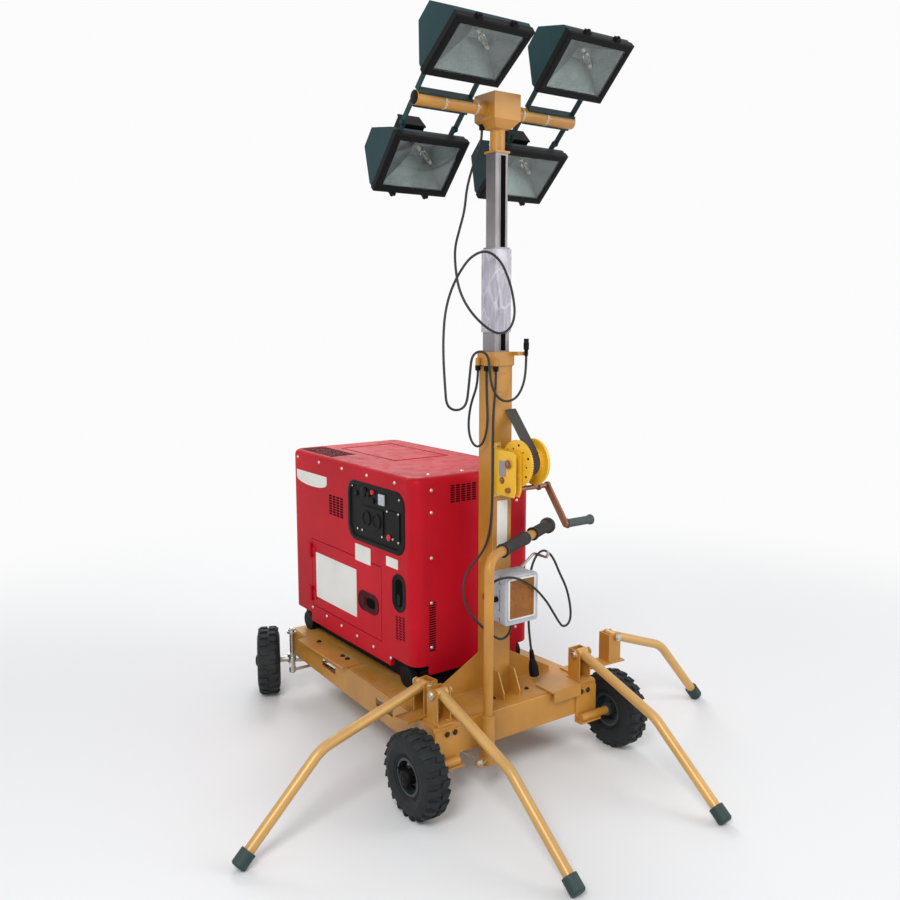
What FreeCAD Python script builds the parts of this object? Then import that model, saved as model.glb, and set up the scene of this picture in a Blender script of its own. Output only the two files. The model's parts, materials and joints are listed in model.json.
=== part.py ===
"""Mobile light tower: a steered four-wheel frame, a boxed generator, a three-stage
winch mast and four floodlights on a tilting crossarm, standing on four folding legs.

Units are millimetres. +Z is up, +X is to the right and +Y is to the rear, so the mast,
the winch and the steering handle are at the front. The origin is on the floor, below
the middle of the space that the tower takes.
"""
import FreeCAD
import Part
import math
import os

V = FreeCAD.Vector
X_AXIS, Y_AXIS, Z_AXIS = V(1, 0, 0), V(0, 1, 0), V(0, 0, 1)
SIDES = (("left", -1), ("right", 1))

# Running clearances
PIN_GAP = 0.1          # shaft in its hole, on the radius
FACE_GAP = 0.4         # pieces that turn or slide face to face
SEAT_GAP = 0.3         # pieces that lie beside each other

# Frame
FRAME_FRONT_Y = -318
FRAME_REAR_Y = 787
FRAME_HALF_FRONT = 345
FRAME_HALF_REAR = 287
FRAME_BOTTOM = 147
FRAME_TOP = 250
CHANNEL_FLANGE = 50
CHANNEL_WALL = 5
CHANNEL_CORNER = 12
DECK_THICKNESS = 4
SLOT_LENGTH = 120
SLOT_HEIGHT = 30
SLOT_Z = 203
SLOT_CENTRES = (2, 442)
CROSS_MEMBERS = (-118, 300)

# Wheels
TYRE_RADIUS = 134
TYRE_WIDTH = 90
LUG_ROOT = 129         # radius between the tread blocks
LUG_COUNT = 22         # in each of the two rows
LUG_THICKNESS = 18
LUG_SLANT = 5
BEAD_RADIUS = 54
RIM_WIDTH = 62
HUB_RADIUS = 22
HUB_LENGTH = 74
AXLE_RADIUS = 10
AXLE_NUT = 15
FRONT_WHEEL_X = FRAME_HALF_FRONT + 75
AXLE_Y = -336

# Rear steering
KINGPIN_X = FRAME_HALF_REAR + 15
KINGPIN_Y = 764
KINGPIN_RADIUS = 8
KNUCKLE_RADIUS = 17
KNUCKLE_HEIGHT = 26
REAR_OFFSET = 92
REAR_TURN = 24.5       # degrees, clockwise from above, as it stands
KNUCKLE_ARM = 80
ROD_RADIUS = 6
EYE_RADIUS = 13
EYE_THICKNESS = 8
EYE_PIN_RADIUS = 5
ARM_TOP = 130          # top face of the steering arms

# Steering handle
HANDLE_X = -155
HANDLE_Y = -348
HANDLE_RADIUS = 16
HANDLE_BAR_Z = 770
HANDLE_BEND = 52
HANDLE_REACH = 503
HANDLE_TURN = 28       # degrees from straight ahead, as it stands
HANDLE_FOOT = 100
SLEEVE_RADIUS = 22
GRIP_RADIUS = 19
GRIPS = ((105, 292), (365, 495))

# Folding legs: knee and foot are measured out from the pivot's own place
LEG_RADIUS = 16.5
LEG_BEND = 130
LEG_PIVOT_Z = 350
LEG_PIN_RADIUS = 8
BRACKET_INNER = 44
BRACKET_WALL = 5
BRACKET_DEPTH = 62
BRACKET_HEAD = 26
FOOT_RADIUS = 23.5
FOOT_LENGTH = 50
FOOT_CHAMFER = 5
FOOT_FLAT = 1.5        # how far the shoe's rim is worn away where it stands
BASE_PLATE = 6
# name: pivot x, pivot y, heading in degrees, knee out, knee z, foot out, plate's inner and outer reach
LEGS = {
    "left": (-307, -205, 187.3, 397, 262, 680, -41, 92),
    "right": (517, -225, -3, 251, 262, 462.9, -217, 36),
    "front_left": (-300, -292, -90, 345, 236, 633.2, -41, 33),
    "front_right": (300, -292, -90, 345, 236, 633.2, -41, 33),
}
# Rests for the folded legs: x, y and how far the front lip hangs below the plate
SIDE_REST = ((-337, -258), (272, 632))
FRONT_REST = ((128, 262), (-334, -250))
FRONT_REST_LIP = 36

# Mast: each stage is a square tube, outside width, wall, bottom and top
MAST_Y = -178
OUTER = {"width": 78, "wall": 3, "bottom": 254, "top": 1400}
MIDDLE = {"width": 62, "wall": 3, "bottom": 300, "top": 1730}
TOP = {"width": 50, "wall": 2.5, "bottom": 342, "top": 2020}
COLLAR_HEIGHT = 44
GUIDE_HEIGHT = 40
WRAP = (1462, 1724)
WRAP_THICKNESS = 4

# Lamp head
NECK_RADIUS = 24
HEAD_BOX = 103
HEAD_BOX_BOTTOM = 2092
ARM_Z = 2150
ARM_RADIUS = 21.5
ARM_HALF = 312
HEAD_TILT = 45         # degrees, the lamps' plane leans down and forward
LAMP_X = 210
LAMP_OUT = 206
LAMP_WIDTH = 268
LAMP_HEIGHT = 200
LAMP_DEPTH = 128
LAMP_FACE = 30
LAMP_WALL = 3
GLASS = (232, 166, 5)
YOKE_HALF = 95
YOKE_PIVOT_OUT = 92
YOKE_PIVOT_BACK = -10
YOKE_WIDTH = 20
YOKE_WALL = 4
YOKE_PIN_RADIUS = 5
EAR_WALL = 6
EAR_RADIUS = 9
TERMINAL_X = (-75, -5)
TERMINAL_BACK = (55, 100)
TERMINAL_OUT = (50, 98)
# name: side, 1 above the crossarm or -1 below, degrees leaned further down than the yokes
LAMPS = {"upper_left": (-1, 1, 9.9), "upper_right": (1, 1, 0),
         "lower_left": (-1, -1, -3), "lower_right": (1, -1, 1)}

# Winch on the front of the mast
WINCH_Y = -297
WINCH_Z = 1048
WINCH_PLATE = 4
WINCH_PLATE_X = (-36, -14)
GEAR_RADIUS = 72.5
DRUM_RADIUS = 46
FLANGE_RADIUS = 74
DRUM_X = (-6, 70)
STRAP_X = (10, 54)
STRAP_THICKNESS = 2.5
STRAP_SLOPE = 49       # degrees above level
WINCH_SHAFT = 8
CRANK_DROP = 84
PINION_RADIUS = 10
CRANK_X = 121
CRANK_LENGTH = 145
CRANK_ANGLE = 51
CRANK_GRIP = 108

# Generator
GEN_HALF = 251
GEN_FRONT_Y = -71
GEN_REAR_Y = 829
GEN_BOTTOM = 309
GEN_TOP = 988
GEN_CORNER = 44
GEN_WALL = 14
DOOR_Y = (138, 666)
DOOR_Z = (377, 650)
DOOR_GAP = 3
HINGE_RADIUS = 6
HINGE_X = -GEN_HALF - HINGE_RADIUS - 0.6
HINGE_PIN_RADIUS = 2.5
HINGE_HALF = 16
HINGE_HEIGHTS = (425, 600)
PANEL_Y = (-13, 364)
PANEL_Z = (717, 928)
CASTER_RADIUS = 37
CASTER_WIDTH = 26
CUTOUT_LENGTH = 150
CUTOUT_HEIGHT = 34

# Control box on the mast
BOX_X = (-55, 80)
BOX_DEPTH = 90
BOX_Z = (520, 680)
WINDOW_X = (-40, 62)
WINDOW_Z = (540, 668)
GLAND_RADIUS = 8
GLAND_LENGTH = 12
CORD_RADIUS = 4
CORD_SIDES = 8
CORD_ARC_SHARE = 0.45   # of the shorter run
# A rod on the box's side that the supply lead hangs over
HOOK_RADIUS = 4
HOOK_POINTS = ((74, -216, 668), (141, -216, 714), (141, -284, 714), (141, -290, 734))
HOOK_BEND = 12
# Cords: the points that each one's line is drawn to, from its gland to its far end
CORDS = {
    "cord_lamps": [
        (-40, -150, 2092), (-40, -150, 2050), (-54, -126, 1992), (-66, -106, 1918), (-69, -100, 1850),
        (-96, -108, 1786), (-136, -138, 1726), (-158, -172, 1662), (-166, -202, 1594),
        (-154, -234, 1536), (-114, -256, 1486), (-60, -264, 1456), (-10, -262, 1470), (16, -256, 1516),
        (12, -250, 1576), (-6, -246, 1636), (-34, -238, 1690), (-76, -222, 1718), (-116, -196, 1698),
        (-142, -170, 1648), (-164, -152, 1588), (-184, -152, 1520), (-199, -165, 1450),
        (-208, -178, 1388), (-211, -187, 1332), (-212, -194, 1286), (-211, -198, 1241),
        (-192, -204, 1222), (-164, -211, 1222), (-145, -216, 1241), (-142, -221, 1288),
        (-141, -228, 1342), (-140, -234, 1387), (-123, -238, 1404), (-99, -242, 1404),
        (-82, -245, 1387), (-79, -248, 1345), (-74, -250, 1300), (-54, -251, 1262), (-18, -250, 1241),
        (28, -250, 1250), (56, -250, 1288), (68, -250, 1338), (68, -250, 1386)],
    "cord_spare": [
        (-51.5, -150, 1340), (-51.5, -150, 1294), (-60, -124, 1230), (-67, -120, 1172),
        (-70, -128, 1130), (-70, -147, 1100), (-68, -174, 1091), (-65, -198, 1108), (-60, -210, 1146),
        (-55, -208, 1200), (-51.5, -196, 1268), (-51.5, -196, 1340)],
    "cord_main": [
        (-40, -229.5, 1340), (-40, -229.5, 1292), (-46, -227, 1220), (-47, -224, 1130),
        (-46, -224, 1040), (-47, -225, 950), (-47, -222, 870), (-50, -212, 800), (-60, -196, 748),
        (-88, -184, 712), (-122, -186, 684), (-147, -200, 645), (-154, -216, 598), (-142, -236, 556),
        (-110, -252, 516), (-74, -260, 482), (-41, -262, 459), (-13, -262, 462), (6, -262, 483),
        (6, -262, 508)],
    "cord_supply": [
        (-67, -262, 600), (-97, -262, 600), (-120, -272, 620), (-120, -291, 656), (-92, -312, 686),
        (-38, -328, 688), (34, -332, 650), (104, -322, 584), (150, -310, 528), (182, -302, 488),
        (205, -297, 464), (235, -291, 464), (252, -287, 486), (252, -282, 532), (238, -276, 594),
        (214, -266, 646), (192, -256, 704), (158, -250, 734), (122, -249, 718), (98, -250, 670),
        (88, -252, 604), (88, -254, 530), (92, -252, 460), (104, -252, 390)],
}
PLUG_END = (120, -252, 297)
PLUG_RADIUS = 17
CONNECTOR_RADIUS = 9
CONNECTOR_TOP = 1442


def box(x, y, z):
    """A block between the pairs of limits x, y and z."""
    return Part.makeBox(x[1] - x[0], y[1] - y[0], z[1] - z[0], V(x[0], y[0], z[0]))


def rod(start, way, radius, length):
    """A round bar from start, along way."""
    return Part.makeCylinder(radius, length, start, way)


def ring(start, way, outer, inner, length):
    """A round bar with a hole through it."""
    return rod(start, way, outer, length).cut(rod(start, way, inner, length))


def prism(points, way):
    """A flat outline, given by its corners, pushed along way."""
    wire = Part.makePolygon([V(*p) for p in points] + [V(*points[0])])
    return Part.Face(wire).extrude(way)


def joined(pieces):
    """Pieces that are welded or moulded together."""
    whole = pieces[0].fuse(pieces[1:]) if len(pieces) > 1 else pieces[0]
    return whole.removeSplitter()


def turned(shape, centre, axis, angle):
    """A copy of a shape, turned by an angle about an axis through centre."""
    copy = shape.copy()
    copy.rotate(centre, axis, angle)
    return copy


def square_tube(width, wall, bottom, top, y=MAST_Y):
    """An upright square tube on the mast's centre line."""
    half, inner = width / 2, width / 2 - wall
    outside = box((-half, half), (y - half, y + half), (bottom, top))
    inside = box((-inner, inner), (y - inner, y + inner), (bottom - 1, top + 1))
    corners = [e for e in outside.Edges if abs(e.BoundBox.ZLength - (top - bottom)) < 1e-6]
    return outside.makeFillet(min(wall, 4), corners).cut(inside)


def section_across(centre, way, radius, sides):
    """A flat round face across a bar, or one with so many sides and the same area."""
    circle = Part.makeCircle(radius, centre, way)
    if not sides:
        return Part.Face(Part.Wire([circle]))
    grown = math.sqrt(2 * math.pi / sides / math.sin(2 * math.pi / sides))
    corners = [centre + (circle.Curve.value(2 * math.pi * i / sides) - centre) * grown for i in range(sides)]
    return Part.Face(Part.makePolygon(corners + [corners[0]]))


def bent_tube(points, radius, bend=None, sides=0):
    """A bar along straight runs, with a tangent arc at each inner point: of radius bend, or
    else as large as the shorter run allows, with the smallest and the length printed."""
    pieces, here, bends, length = [], points[0], [], 0
    section = section_across(here, points[1] - here, radius, sides)
    for before, corner, after in zip(points, points[1:], points[2:]):
        way_in, way_out = (corner - before).normalize(), (after - corner).normalize()
        half_turn = math.acos(max(-1, min(1, way_in.dot(way_out)))) / 2
        shorter = min((corner - before).Length, (after - corner).Length)
        arc = bend or CORD_ARC_SHARE * shorter / math.tan(half_turn)
        bends.append(arc)
        trim = arc * math.tan(half_turn)
        run = corner - way_in * trim - here
        pieces.append(section.extrude(run))
        section.translate(run)
        centre = corner + (way_out - way_in).normalize() * (arc / math.cos(half_turn))
        turn = (centre, way_in.cross(way_out), math.degrees(2 * half_turn))
        pieces.append(section.revolve(*turn))
        section.rotate(*turn)
        length += run.Length + 2 * half_turn * arc
        here = corner + way_out * trim
    last = points[-1] - here
    pieces.append(section.extrude(last))
    if not bend:
        print("cord of %.0f mm, arcs of %.0f mm or more" % (length + last.Length, min(bends)))
    return joined(pieces)


def frame_half(y):
    """Half the frame's width at y: the side rails close in towards the rear."""
    share = (y - FRAME_FRONT_Y) / (FRAME_REAR_Y - FRAME_FRONT_Y)
    return FRAME_HALF_FRONT + share * (FRAME_HALF_REAR - FRAME_HALF_FRONT)


def side_rail(side):
    """A channel along one side, web outside, with the slots for lifting forks."""
    def band(near, far, z0, z1):
        return prism([(side * (frame_half(FRAME_FRONT_Y) - near), FRAME_FRONT_Y, z0),
                      (side * (frame_half(FRAME_REAR_Y) - near), FRAME_REAR_Y, z0),
                      (side * (frame_half(FRAME_REAR_Y) - far), FRAME_REAR_Y, z0),
                      (side * (frame_half(FRAME_FRONT_Y) - far), FRAME_FRONT_Y, z0)],
                     V(0, 0, z1 - z0))
    web = band(0, CHANNEL_WALL, FRAME_BOTTOM, FRAME_TOP)
    top = band(0, CHANNEL_FLANGE, FRAME_TOP - CHANNEL_WALL, FRAME_TOP)
    bottom = band(0, CHANNEL_FLANGE, FRAME_BOTTOM, FRAME_BOTTOM + CHANNEL_WALL)
    rail = joined([web, top, bottom])
    for centre in SLOT_CENTRES:
        outer = side * frame_half(centre)
        reach = sorted((outer + side * 20, outer - side * 20))
        rail = rail.cut(box(reach, (centre - SLOT_LENGTH / 2, centre + SLOT_LENGTH / 2),
                            (SLOT_Z - SLOT_HEIGHT / 2, SLOT_Z + SLOT_HEIGHT / 2)))
    return rail


def in_two_lengths(rail):
    """A rail as two lengths, butted together midway between its slots."""
    middle = sum(SLOT_CENTRES) / len(SLOT_CENTRES)
    across = (-FRAME_HALF_FRONT - 10, FRAME_HALF_FRONT + 10)
    height = (FRAME_BOTTOM - 10, FRAME_TOP + 10)
    lengths = ((FRAME_FRONT_Y - 10, middle), (middle, FRAME_REAR_Y + 10))
    return Part.makeCompound([solid for length in lengths
                              for solid in rail.common(box(across, length, height)).Solids])


def cross_channel(y, way, half):
    """A channel across the frame, its web at y and its flanges pointing way."""
    web = box((-half, half), sorted((y, y + way * CHANNEL_WALL)), (FRAME_BOTTOM, FRAME_TOP))
    flanges = [box((-half, half), sorted((y, y + way * CHANNEL_FLANGE)), (z, z + CHANNEL_WALL))
               for z in (FRAME_BOTTOM, FRAME_TOP - CHANNEL_WALL)]
    return joined([web] + flanges)


def front_beam():
    """The beam across the front, with the sleeve that the handle turns in."""
    beam = cross_channel(FRAME_FRONT_Y, 1, FRAME_HALF_FRONT)
    edge = [e for e in beam.Edges if e.BoundBox.XLength > FRAME_HALF_FRONT
            and abs(e.BoundBox.YMin - FRAME_FRONT_Y) < 1e-6
            and abs(e.BoundBox.ZMin - FRAME_TOP) < 1e-6]
    beam = beam.makeFillet(CHANNEL_CORNER / 3, edge)
    saddle = box((HANDLE_X - 18, HANDLE_X + 18), (HANDLE_Y + SLEEVE_RADIUS / 2, FRAME_FRONT_Y),
                 (FRAME_BOTTOM, FRAME_TOP))
    sleeve = rod(V(HANDLE_X, HANDLE_Y, FRAME_BOTTOM), Z_AXIS, SLEEVE_RADIUS, FRAME_TOP - FRAME_BOTTOM)
    bore = rod(V(HANDLE_X, HANDLE_Y, 0), Z_AXIS, HANDLE_RADIUS + PIN_GAP, FRAME_TOP + 50)
    return joined([beam, saddle, sleeve]).cut(bore)


def make_frame():
    """The two side rails, and the beams and cross members that are welded between them."""
    front, rear = (cross_channel(FRAME_FRONT_Y, 1, FRAME_HALF_FRONT),
                   cross_channel(FRAME_REAR_Y, -1, FRAME_HALF_REAR))
    rails = {"rail_" + name: in_two_lengths(side_rail(side).cut([front, rear])) for name, side in SIDES}
    members = [cross_channel(y, 1, frame_half(y + CHANNEL_FLANGE) - CHANNEL_WALL / 4)
               .cut(list(rails.values())) for y in CROSS_MEMBERS]
    return {**rails, "cross_beams": Part.makeCompound([front_beam(), rear] + members)}


def make_deck():
    """The floor plate over the front half of the frame."""
    z = (FRAME_TOP, FRAME_TOP + DECK_THICKNESS)
    front, rear = FRAME_FRONT_Y + 8, FRAME_REAR_Y - 4
    return prism([(-frame_half(front) + 8, front, z[0]), (frame_half(front) - 8, front, z[0]),
                  (frame_half(rear) - 4, rear, z[0]), (-frame_half(rear) + 4, rear, z[0])],
                 V(0, 0, DECK_THICKNESS))


def leg_way(leg):
    """The level direction that a leg points out in."""
    heading = math.radians(LEGS[leg][2])
    return V(math.cos(heading), math.sin(heading), 0)


def bracket_for(leg):
    """The upright channel that carries a leg's pivot, on its own base plate."""
    x, y = LEGS[leg][:2]
    plate_in, plate_out = LEGS[leg][6:]
    way = leg_way(leg)
    across = V(-way.y, way.x, 0)
    base_z = FRAME_TOP + DECK_THICKNESS
    top = LEG_PIVOT_Z + BRACKET_HEAD / 2
    inner, outer = BRACKET_INNER / 2, BRACKET_INNER / 2 + BRACKET_WALL
    back, front = -BRACKET_DEPTH / 2 - 6, BRACKET_DEPTH / 2 - 12

    def slab(u0, u1, v0, v1, z0, z1):
        corners = [V(x, y, z0) + way * u + across * v
                   for u, v in ((u0, v0), (u1, v0), (u1, v1), (u0, v1))]
        return prism([tuple(p) for p in corners], V(0, 0, z1 - z0))

    ears = [slab(back, front, s * inner, s * outer, base_z, top) for s in (-1, 1)]
    spine = slab(back, back + BRACKET_WALL, -outer, outer, base_z, top)
    plate = slab(plate_in, plate_out, -outer - 6, outer + 6, base_z, base_z + BASE_PLATE)
    pin = rod(V(x, y, LEG_PIVOT_Z) - across * (outer + 10), across, LEG_PIN_RADIUS, 2 * outer + 20)
    head = rod(V(x, y, LEG_PIVOT_Z) - across * (outer + 10), across, 13, 10)
    nut = rod(V(x, y, LEG_PIVOT_Z) + across * outer, across, 12, 8)
    return joined(ears + [spine, plate, pin, head, nut])


def make_leg_rests():
    """Two plates on the deck that the folded legs lie on, the front one with a hanging lip."""
    z = FRAME_TOP + DECK_THICKNESS
    side = box(*SIDE_REST, (z, z + BASE_PLATE))
    front = box(*FRONT_REST, (z, z + BASE_PLATE))
    y = FRONT_REST[1][0]
    lip = box((FRONT_REST[0][0] + 12, FRONT_REST[0][1]), (y, y + BASE_PLATE), (z - FRONT_REST_LIP, z + BASE_PLATE))
    return [side, joined([front, lip])]


def make_leg_brackets():
    """The brackets at the places where the legs fold, and the folded legs' rests."""
    return Part.makeCompound([bracket_for(leg) for leg in LEGS] + make_leg_rests())


def foot_height(knee_z, run):
    """Height of the middle of a shoe's end face when its lower rim stands on the floor."""
    height = 0
    for _ in range(6):
        slope = math.atan2(knee_z - height, run)
        height = FOOT_RADIUS * math.cos(slope) - FOOT_CHAMFER * math.sin(slope) - FOOT_FLAT
    return height


def leg_points(leg):
    """A leg's pivot, knee and the middle of its shoe's end face."""
    x, y, _, knee_out, knee_z, foot_out = LEGS[leg][:6]
    way = leg_way(leg)
    foot_z = foot_height(knee_z, foot_out - knee_out)
    knee, foot = V(x, y, knee_z) + way * knee_out, V(x, y, foot_z) + way * foot_out
    return V(x, y, LEG_PIVOT_Z), knee, foot


def make_leg(leg):
    """A bent tube with a cross boss on the pivot pin."""
    pivot, knee, foot = leg_points(leg)
    out = (foot - knee).normalize()
    end = foot - out * (FOOT_LENGTH * 0.6)
    way = leg_way(leg)
    across = V(-way.y, way.x, 0)
    tube = bent_tube([pivot, knee, end], LEG_RADIUS, LEG_BEND)
    half = BRACKET_INNER / 2 - FACE_GAP
    boss = rod(pivot - across * half, across, BRACKET_HEAD / 2 + 3, 2 * half)
    hole = rod(pivot - across * (half + 1), across, LEG_PIN_RADIUS + PIN_GAP, 2 * half + 2)
    return joined([tube, boss]).cut(hole)


def make_foot(leg):
    """The rubber shoe on a leg's end, cut level with the floor."""
    pivot, knee, foot = leg_points(leg)
    out = (foot - knee).normalize()
    start = foot - out * FOOT_LENGTH
    shoe = rod(start, out, FOOT_RADIUS, FOOT_LENGTH - FOOT_CHAMFER)
    toe = Part.makeCone(FOOT_RADIUS, FOOT_RADIUS - FOOT_CHAMFER, FOOT_CHAMFER, foot - out * FOOT_CHAMFER, out)
    shoe = joined([shoe, toe])
    socket = rod(start - out, out, LEG_RADIUS + SEAT_GAP, FOOT_LENGTH * 0.4 + 1)
    reach = 200
    floor = box((foot.x - reach, foot.x + reach), (foot.y - reach, foot.y + reach), (-reach, 0))
    return shoe.cut(floor).cut(socket)


def make_tyre():
    """A tyre about the X axis: the carcass, and two rows of slanted tread blocks, one in step
    with the other's gaps."""
    half, rim_half = TYRE_WIDTH / 2, RIM_WIDTH / 2
    side = [(rim_half - 6, BEAD_RADIUS), (rim_half, BEAD_RADIUS + 6), (half - 5, BEAD_RADIUS + 20),
            (half, BEAD_RADIUS + 40), (half - 3, LUG_ROOT - 20), (half - 11, LUG_ROOT - 8),
            (half - 20, LUG_ROOT - 1)]
    carcass = solid_ring(side + [(-a, r) for a, r in reversed(side)])
    block = [(3, LUG_ROOT - 6), (3, TYRE_RADIUS), (half - 20, TYRE_RADIUS), (half - 9, LUG_ROOT - 4),
             (half - 11, LUG_ROOT - 12)]
    lugs = []
    for row, side_sign in enumerate((-1, 1)):
        lug = prism([(side_sign * a, -LUG_THICKNESS / 2, -r) for a, r in block],
                    V(side_sign * LUG_SLANT, LUG_THICKNESS, 0))
        lugs += [turned(lug, V(0, 0, 0), X_AXIS, 360 / LUG_COUNT * (i + row / 2)) for i in range(LUG_COUNT)]
    return carcass.fuse(lugs)


def make_rim():
    """A pressed rim about the X axis, its hub reaching out on both sides."""
    rim_half = RIM_WIDTH / 2
    bed = BEAD_RADIUS - SEAT_GAP
    lip = 3
    return solid_ring([(-rim_half - lip, bed + 5), (-rim_half - lip, bed - lip), (4, bed - lip),
                       (8, HUB_RADIUS), (HUB_LENGTH / 2, HUB_RADIUS),
                       (HUB_LENGTH / 2, AXLE_RADIUS + PIN_GAP),
                       (-HUB_LENGTH / 2, AXLE_RADIUS + PIN_GAP), (-HUB_LENGTH / 2, HUB_RADIUS),
                       (13, HUB_RADIUS), (9, bed - lip), (rim_half + lip, bed - lip),
                       (rim_half + lip, bed + 5), (rim_half - 1, bed + 5), (rim_half - 5, bed),
                       (-rim_half + 5, bed), (-rim_half + 1, bed + 5)])


def make_wheels():
    """The four tyres and rims, each turned and moved to its axle."""
    tyre, rim = make_tyre(), make_rim()
    nodes = {}
    for name, (centre, way) in wheel_places().items():
        place = FreeCAD.Placement(centre, FreeCAD.Rotation(X_AXIS, way)).toMatrix()
        nodes["tyre_" + name], nodes["rim_" + name] = tyre.transformed(place), rim.transformed(place)
    return nodes


def solid_ring(points):
    """An outline of (along, radius) corners, turned once round the X axis."""
    corners = [V(a, 0, r) for a, r in points]
    return Part.Face(Part.makePolygon(corners + [corners[0]])).revolve(V(0, 0, 0), X_AXIS, 360)


def rear_way(side):
    """The way that a rear wheel's axle points, outwards, as it stands."""
    angle = math.radians(-REAR_TURN)
    return V(side * math.cos(angle), side * math.sin(angle), 0)


def wheel_places():
    """Each wheel's centre and the way its axle points."""
    places = {}
    for name, side in SIDES:
        places["front_" + name] = (V(side * FRONT_WHEEL_X, AXLE_Y, TYRE_RADIUS), V(side, 0, 0))
        way = rear_way(side)
        pin = V(side * KINGPIN_X, KINGPIN_Y, TYRE_RADIUS)
        places["rear_" + name] = (pin + way * REAR_OFFSET, way)
    return places


def make_front_axles():
    """An angle bracket below each end of the front beam, with a stub axle along its corner."""
    solids = []
    for _, side in SIDES:
        x = sorted((side * (FRAME_HALF_FRONT - 2), side * (FRAME_HALF_FRONT - 95)))
        face = box(x, (FRAME_FRONT_Y - 6, FRAME_FRONT_Y), (TYRE_RADIUS - 16, FRAME_TOP - 14))
        shelf = box(x, (AXLE_Y - 16, FRAME_FRONT_Y), (TYRE_RADIUS - 16, TYRE_RADIUS - 10))
        start = FRAME_HALF_FRONT - 83
        inner = V(side * start, AXLE_Y, TYRE_RADIUS)
        wheel_inner = FRONT_WHEEL_X - HUB_LENGTH / 2 - FACE_GAP
        shoulder = rod(inner, V(side, 0, 0), AXLE_RADIUS + 4, wheel_inner - start)
        axle = rod(inner, V(side, 0, 0), AXLE_RADIUS, FRONT_WHEEL_X + HUB_LENGTH / 2 + 12 - start)
        nut = rod(V(side * (FRONT_WHEEL_X + HUB_LENGTH / 2 + FACE_GAP), AXLE_Y, TYRE_RADIUS),
                  V(side, 0, 0), AXLE_NUT, 9)
        bolts = [rod(V(side * (FRAME_HALF_FRONT - inset), FRAME_FRONT_Y - 11, FRAME_TOP - 24), Y_AXIS, 7, 6)
                 for inset in (75, 45)]
        solids.append(joined([face, shelf, axle, nut] + bolts + [shoulder]))
    return Part.makeCompound(solids)


def make_kingpins():
    """The lugs at the frame's rear corners, each holding a long kingpin."""
    solids = []
    low = TYRE_RADIUS - KNUCKLE_HEIGHT / 2 - FACE_GAP - 10
    for _, side in SIDES:
        pin = rod(V(side * KINGPIN_X, KINGPIN_Y, low), Z_AXIS, KINGPIN_RADIUS, FRAME_TOP + 8 - low)
        nut = rod(V(side * KINGPIN_X, KINGPIN_Y, low), Z_AXIS, KINGPIN_RADIUS + 5, 10)
        head = rod(V(side * KINGPIN_X, KINGPIN_Y, FRAME_TOP), Z_AXIS, KINGPIN_RADIUS + 5, 8)
        lugs = []
        for z in (FRAME_BOTTOM, FRAME_TOP - 8):
            x = sorted((side * (frame_half(KINGPIN_Y - 18) + FACE_GAP), side * KINGPIN_X))
            lugs.append(box(x, (KINGPIN_Y - 18, KINGPIN_Y + 18), (z, z + 8)))
            lugs.append(rod(V(side * KINGPIN_X, KINGPIN_Y, z), Z_AXIS, 18, 8))
        frame = [side_rail(side), cross_channel(FRAME_REAR_Y, -1, FRAME_HALF_REAR)]
        solids.append(joined([pin, nut, head] + lugs).cut(frame))
    return solids


def turned_way(x, y):
    """A level direction of the steering gear, turned from straight ahead to how it stands."""
    angle = math.radians(-REAR_TURN)
    return V(x * math.cos(angle) - y * math.sin(angle), x * math.sin(angle) + y * math.cos(angle), 0)


def steering_tips():
    """Where the drag link meets the left knuckle, and the tie rod's left and right ends."""
    left, right = (V(side * KINGPIN_X, KINGPIN_Y, 0) for _, side in SIDES)
    forward = turned_way(0, -1) * KNUCKLE_ARM
    return left + turned_way(1, 0) * KNUCKLE_ARM, left + forward, right + forward


def flat_arm(centre, tip):
    """A flat steering arm from a knuckle or the handle out to its eye."""
    z = ARM_TOP - EYE_THICKNESS
    bar = prism([(p.x, p.y, z) for p in strip(centre, tip, EYE_RADIUS - 1)], V(0, 0, EYE_THICKNESS))
    return [bar, rod(V(tip.x, tip.y, z), Z_AXIS, EYE_RADIUS, EYE_THICKNESS)]


def knuckle(side):
    """A rear knuckle: hub on the kingpin, stub axle and steering arms."""
    centre = V(side * KINGPIN_X, KINGPIN_Y, TYRE_RADIUS)
    bottom = TYRE_RADIUS - KNUCKLE_HEIGHT / 2
    top = min(bottom + KNUCKLE_HEIGHT, FRAME_BOTTOM - FACE_GAP)
    way = rear_way(side)
    hub = rod(V(centre.x, centre.y, bottom), Z_AXIS, KNUCKLE_RADIUS, top - bottom)
    hub_face = REAR_OFFSET - HUB_LENGTH / 2 - FACE_GAP
    stub = rod(centre, way, AXLE_RADIUS, REAR_OFFSET + HUB_LENGTH / 2 + 12)
    collar = rod(centre, way, AXLE_RADIUS + 2, hub_face)
    nut = rod(centre + way * (REAR_OFFSET + HUB_LENGTH / 2 + FACE_GAP), way, AXLE_NUT, 9)
    drag_tip, left_tip, right_tip = steering_tips()
    arms = flat_arm(centre, left_tip) + flat_arm(centre, drag_tip) if side < 0 else flat_arm(centre, right_tip)
    hole = rod(V(centre.x, centre.y, 0), Z_AXIS, KINGPIN_RADIUS + PIN_GAP, FRAME_TOP)
    return hub.fuse([stub, collar, nut] + arms).cut(hole)


def strip(start, end, half):
    """The corners of a flat strip between two points."""
    way = (end - start)
    way.z = 0
    way.normalize()
    off = V(-way.y, way.x, 0) * half
    return [start + off, end + off, end - off, start - off]


def link(start, end, z):
    """A round rod with an eye as thick as the rod at each end, its middle at height z."""
    a, b = V(start.x, start.y, z), V(end.x, end.y, z)
    way = (b - a).normalize()
    bar = rod(a + way * (EYE_RADIUS - 3), way, ROD_RADIUS, (b - a).Length - 2 * EYE_RADIUS + 6)
    eyes = [rod(V(p.x, p.y, z - ROD_RADIUS), Z_AXIS, EYE_RADIUS, 2 * ROD_RADIUS) for p in (a, b)]
    return joined([bar] + eyes)


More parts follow.
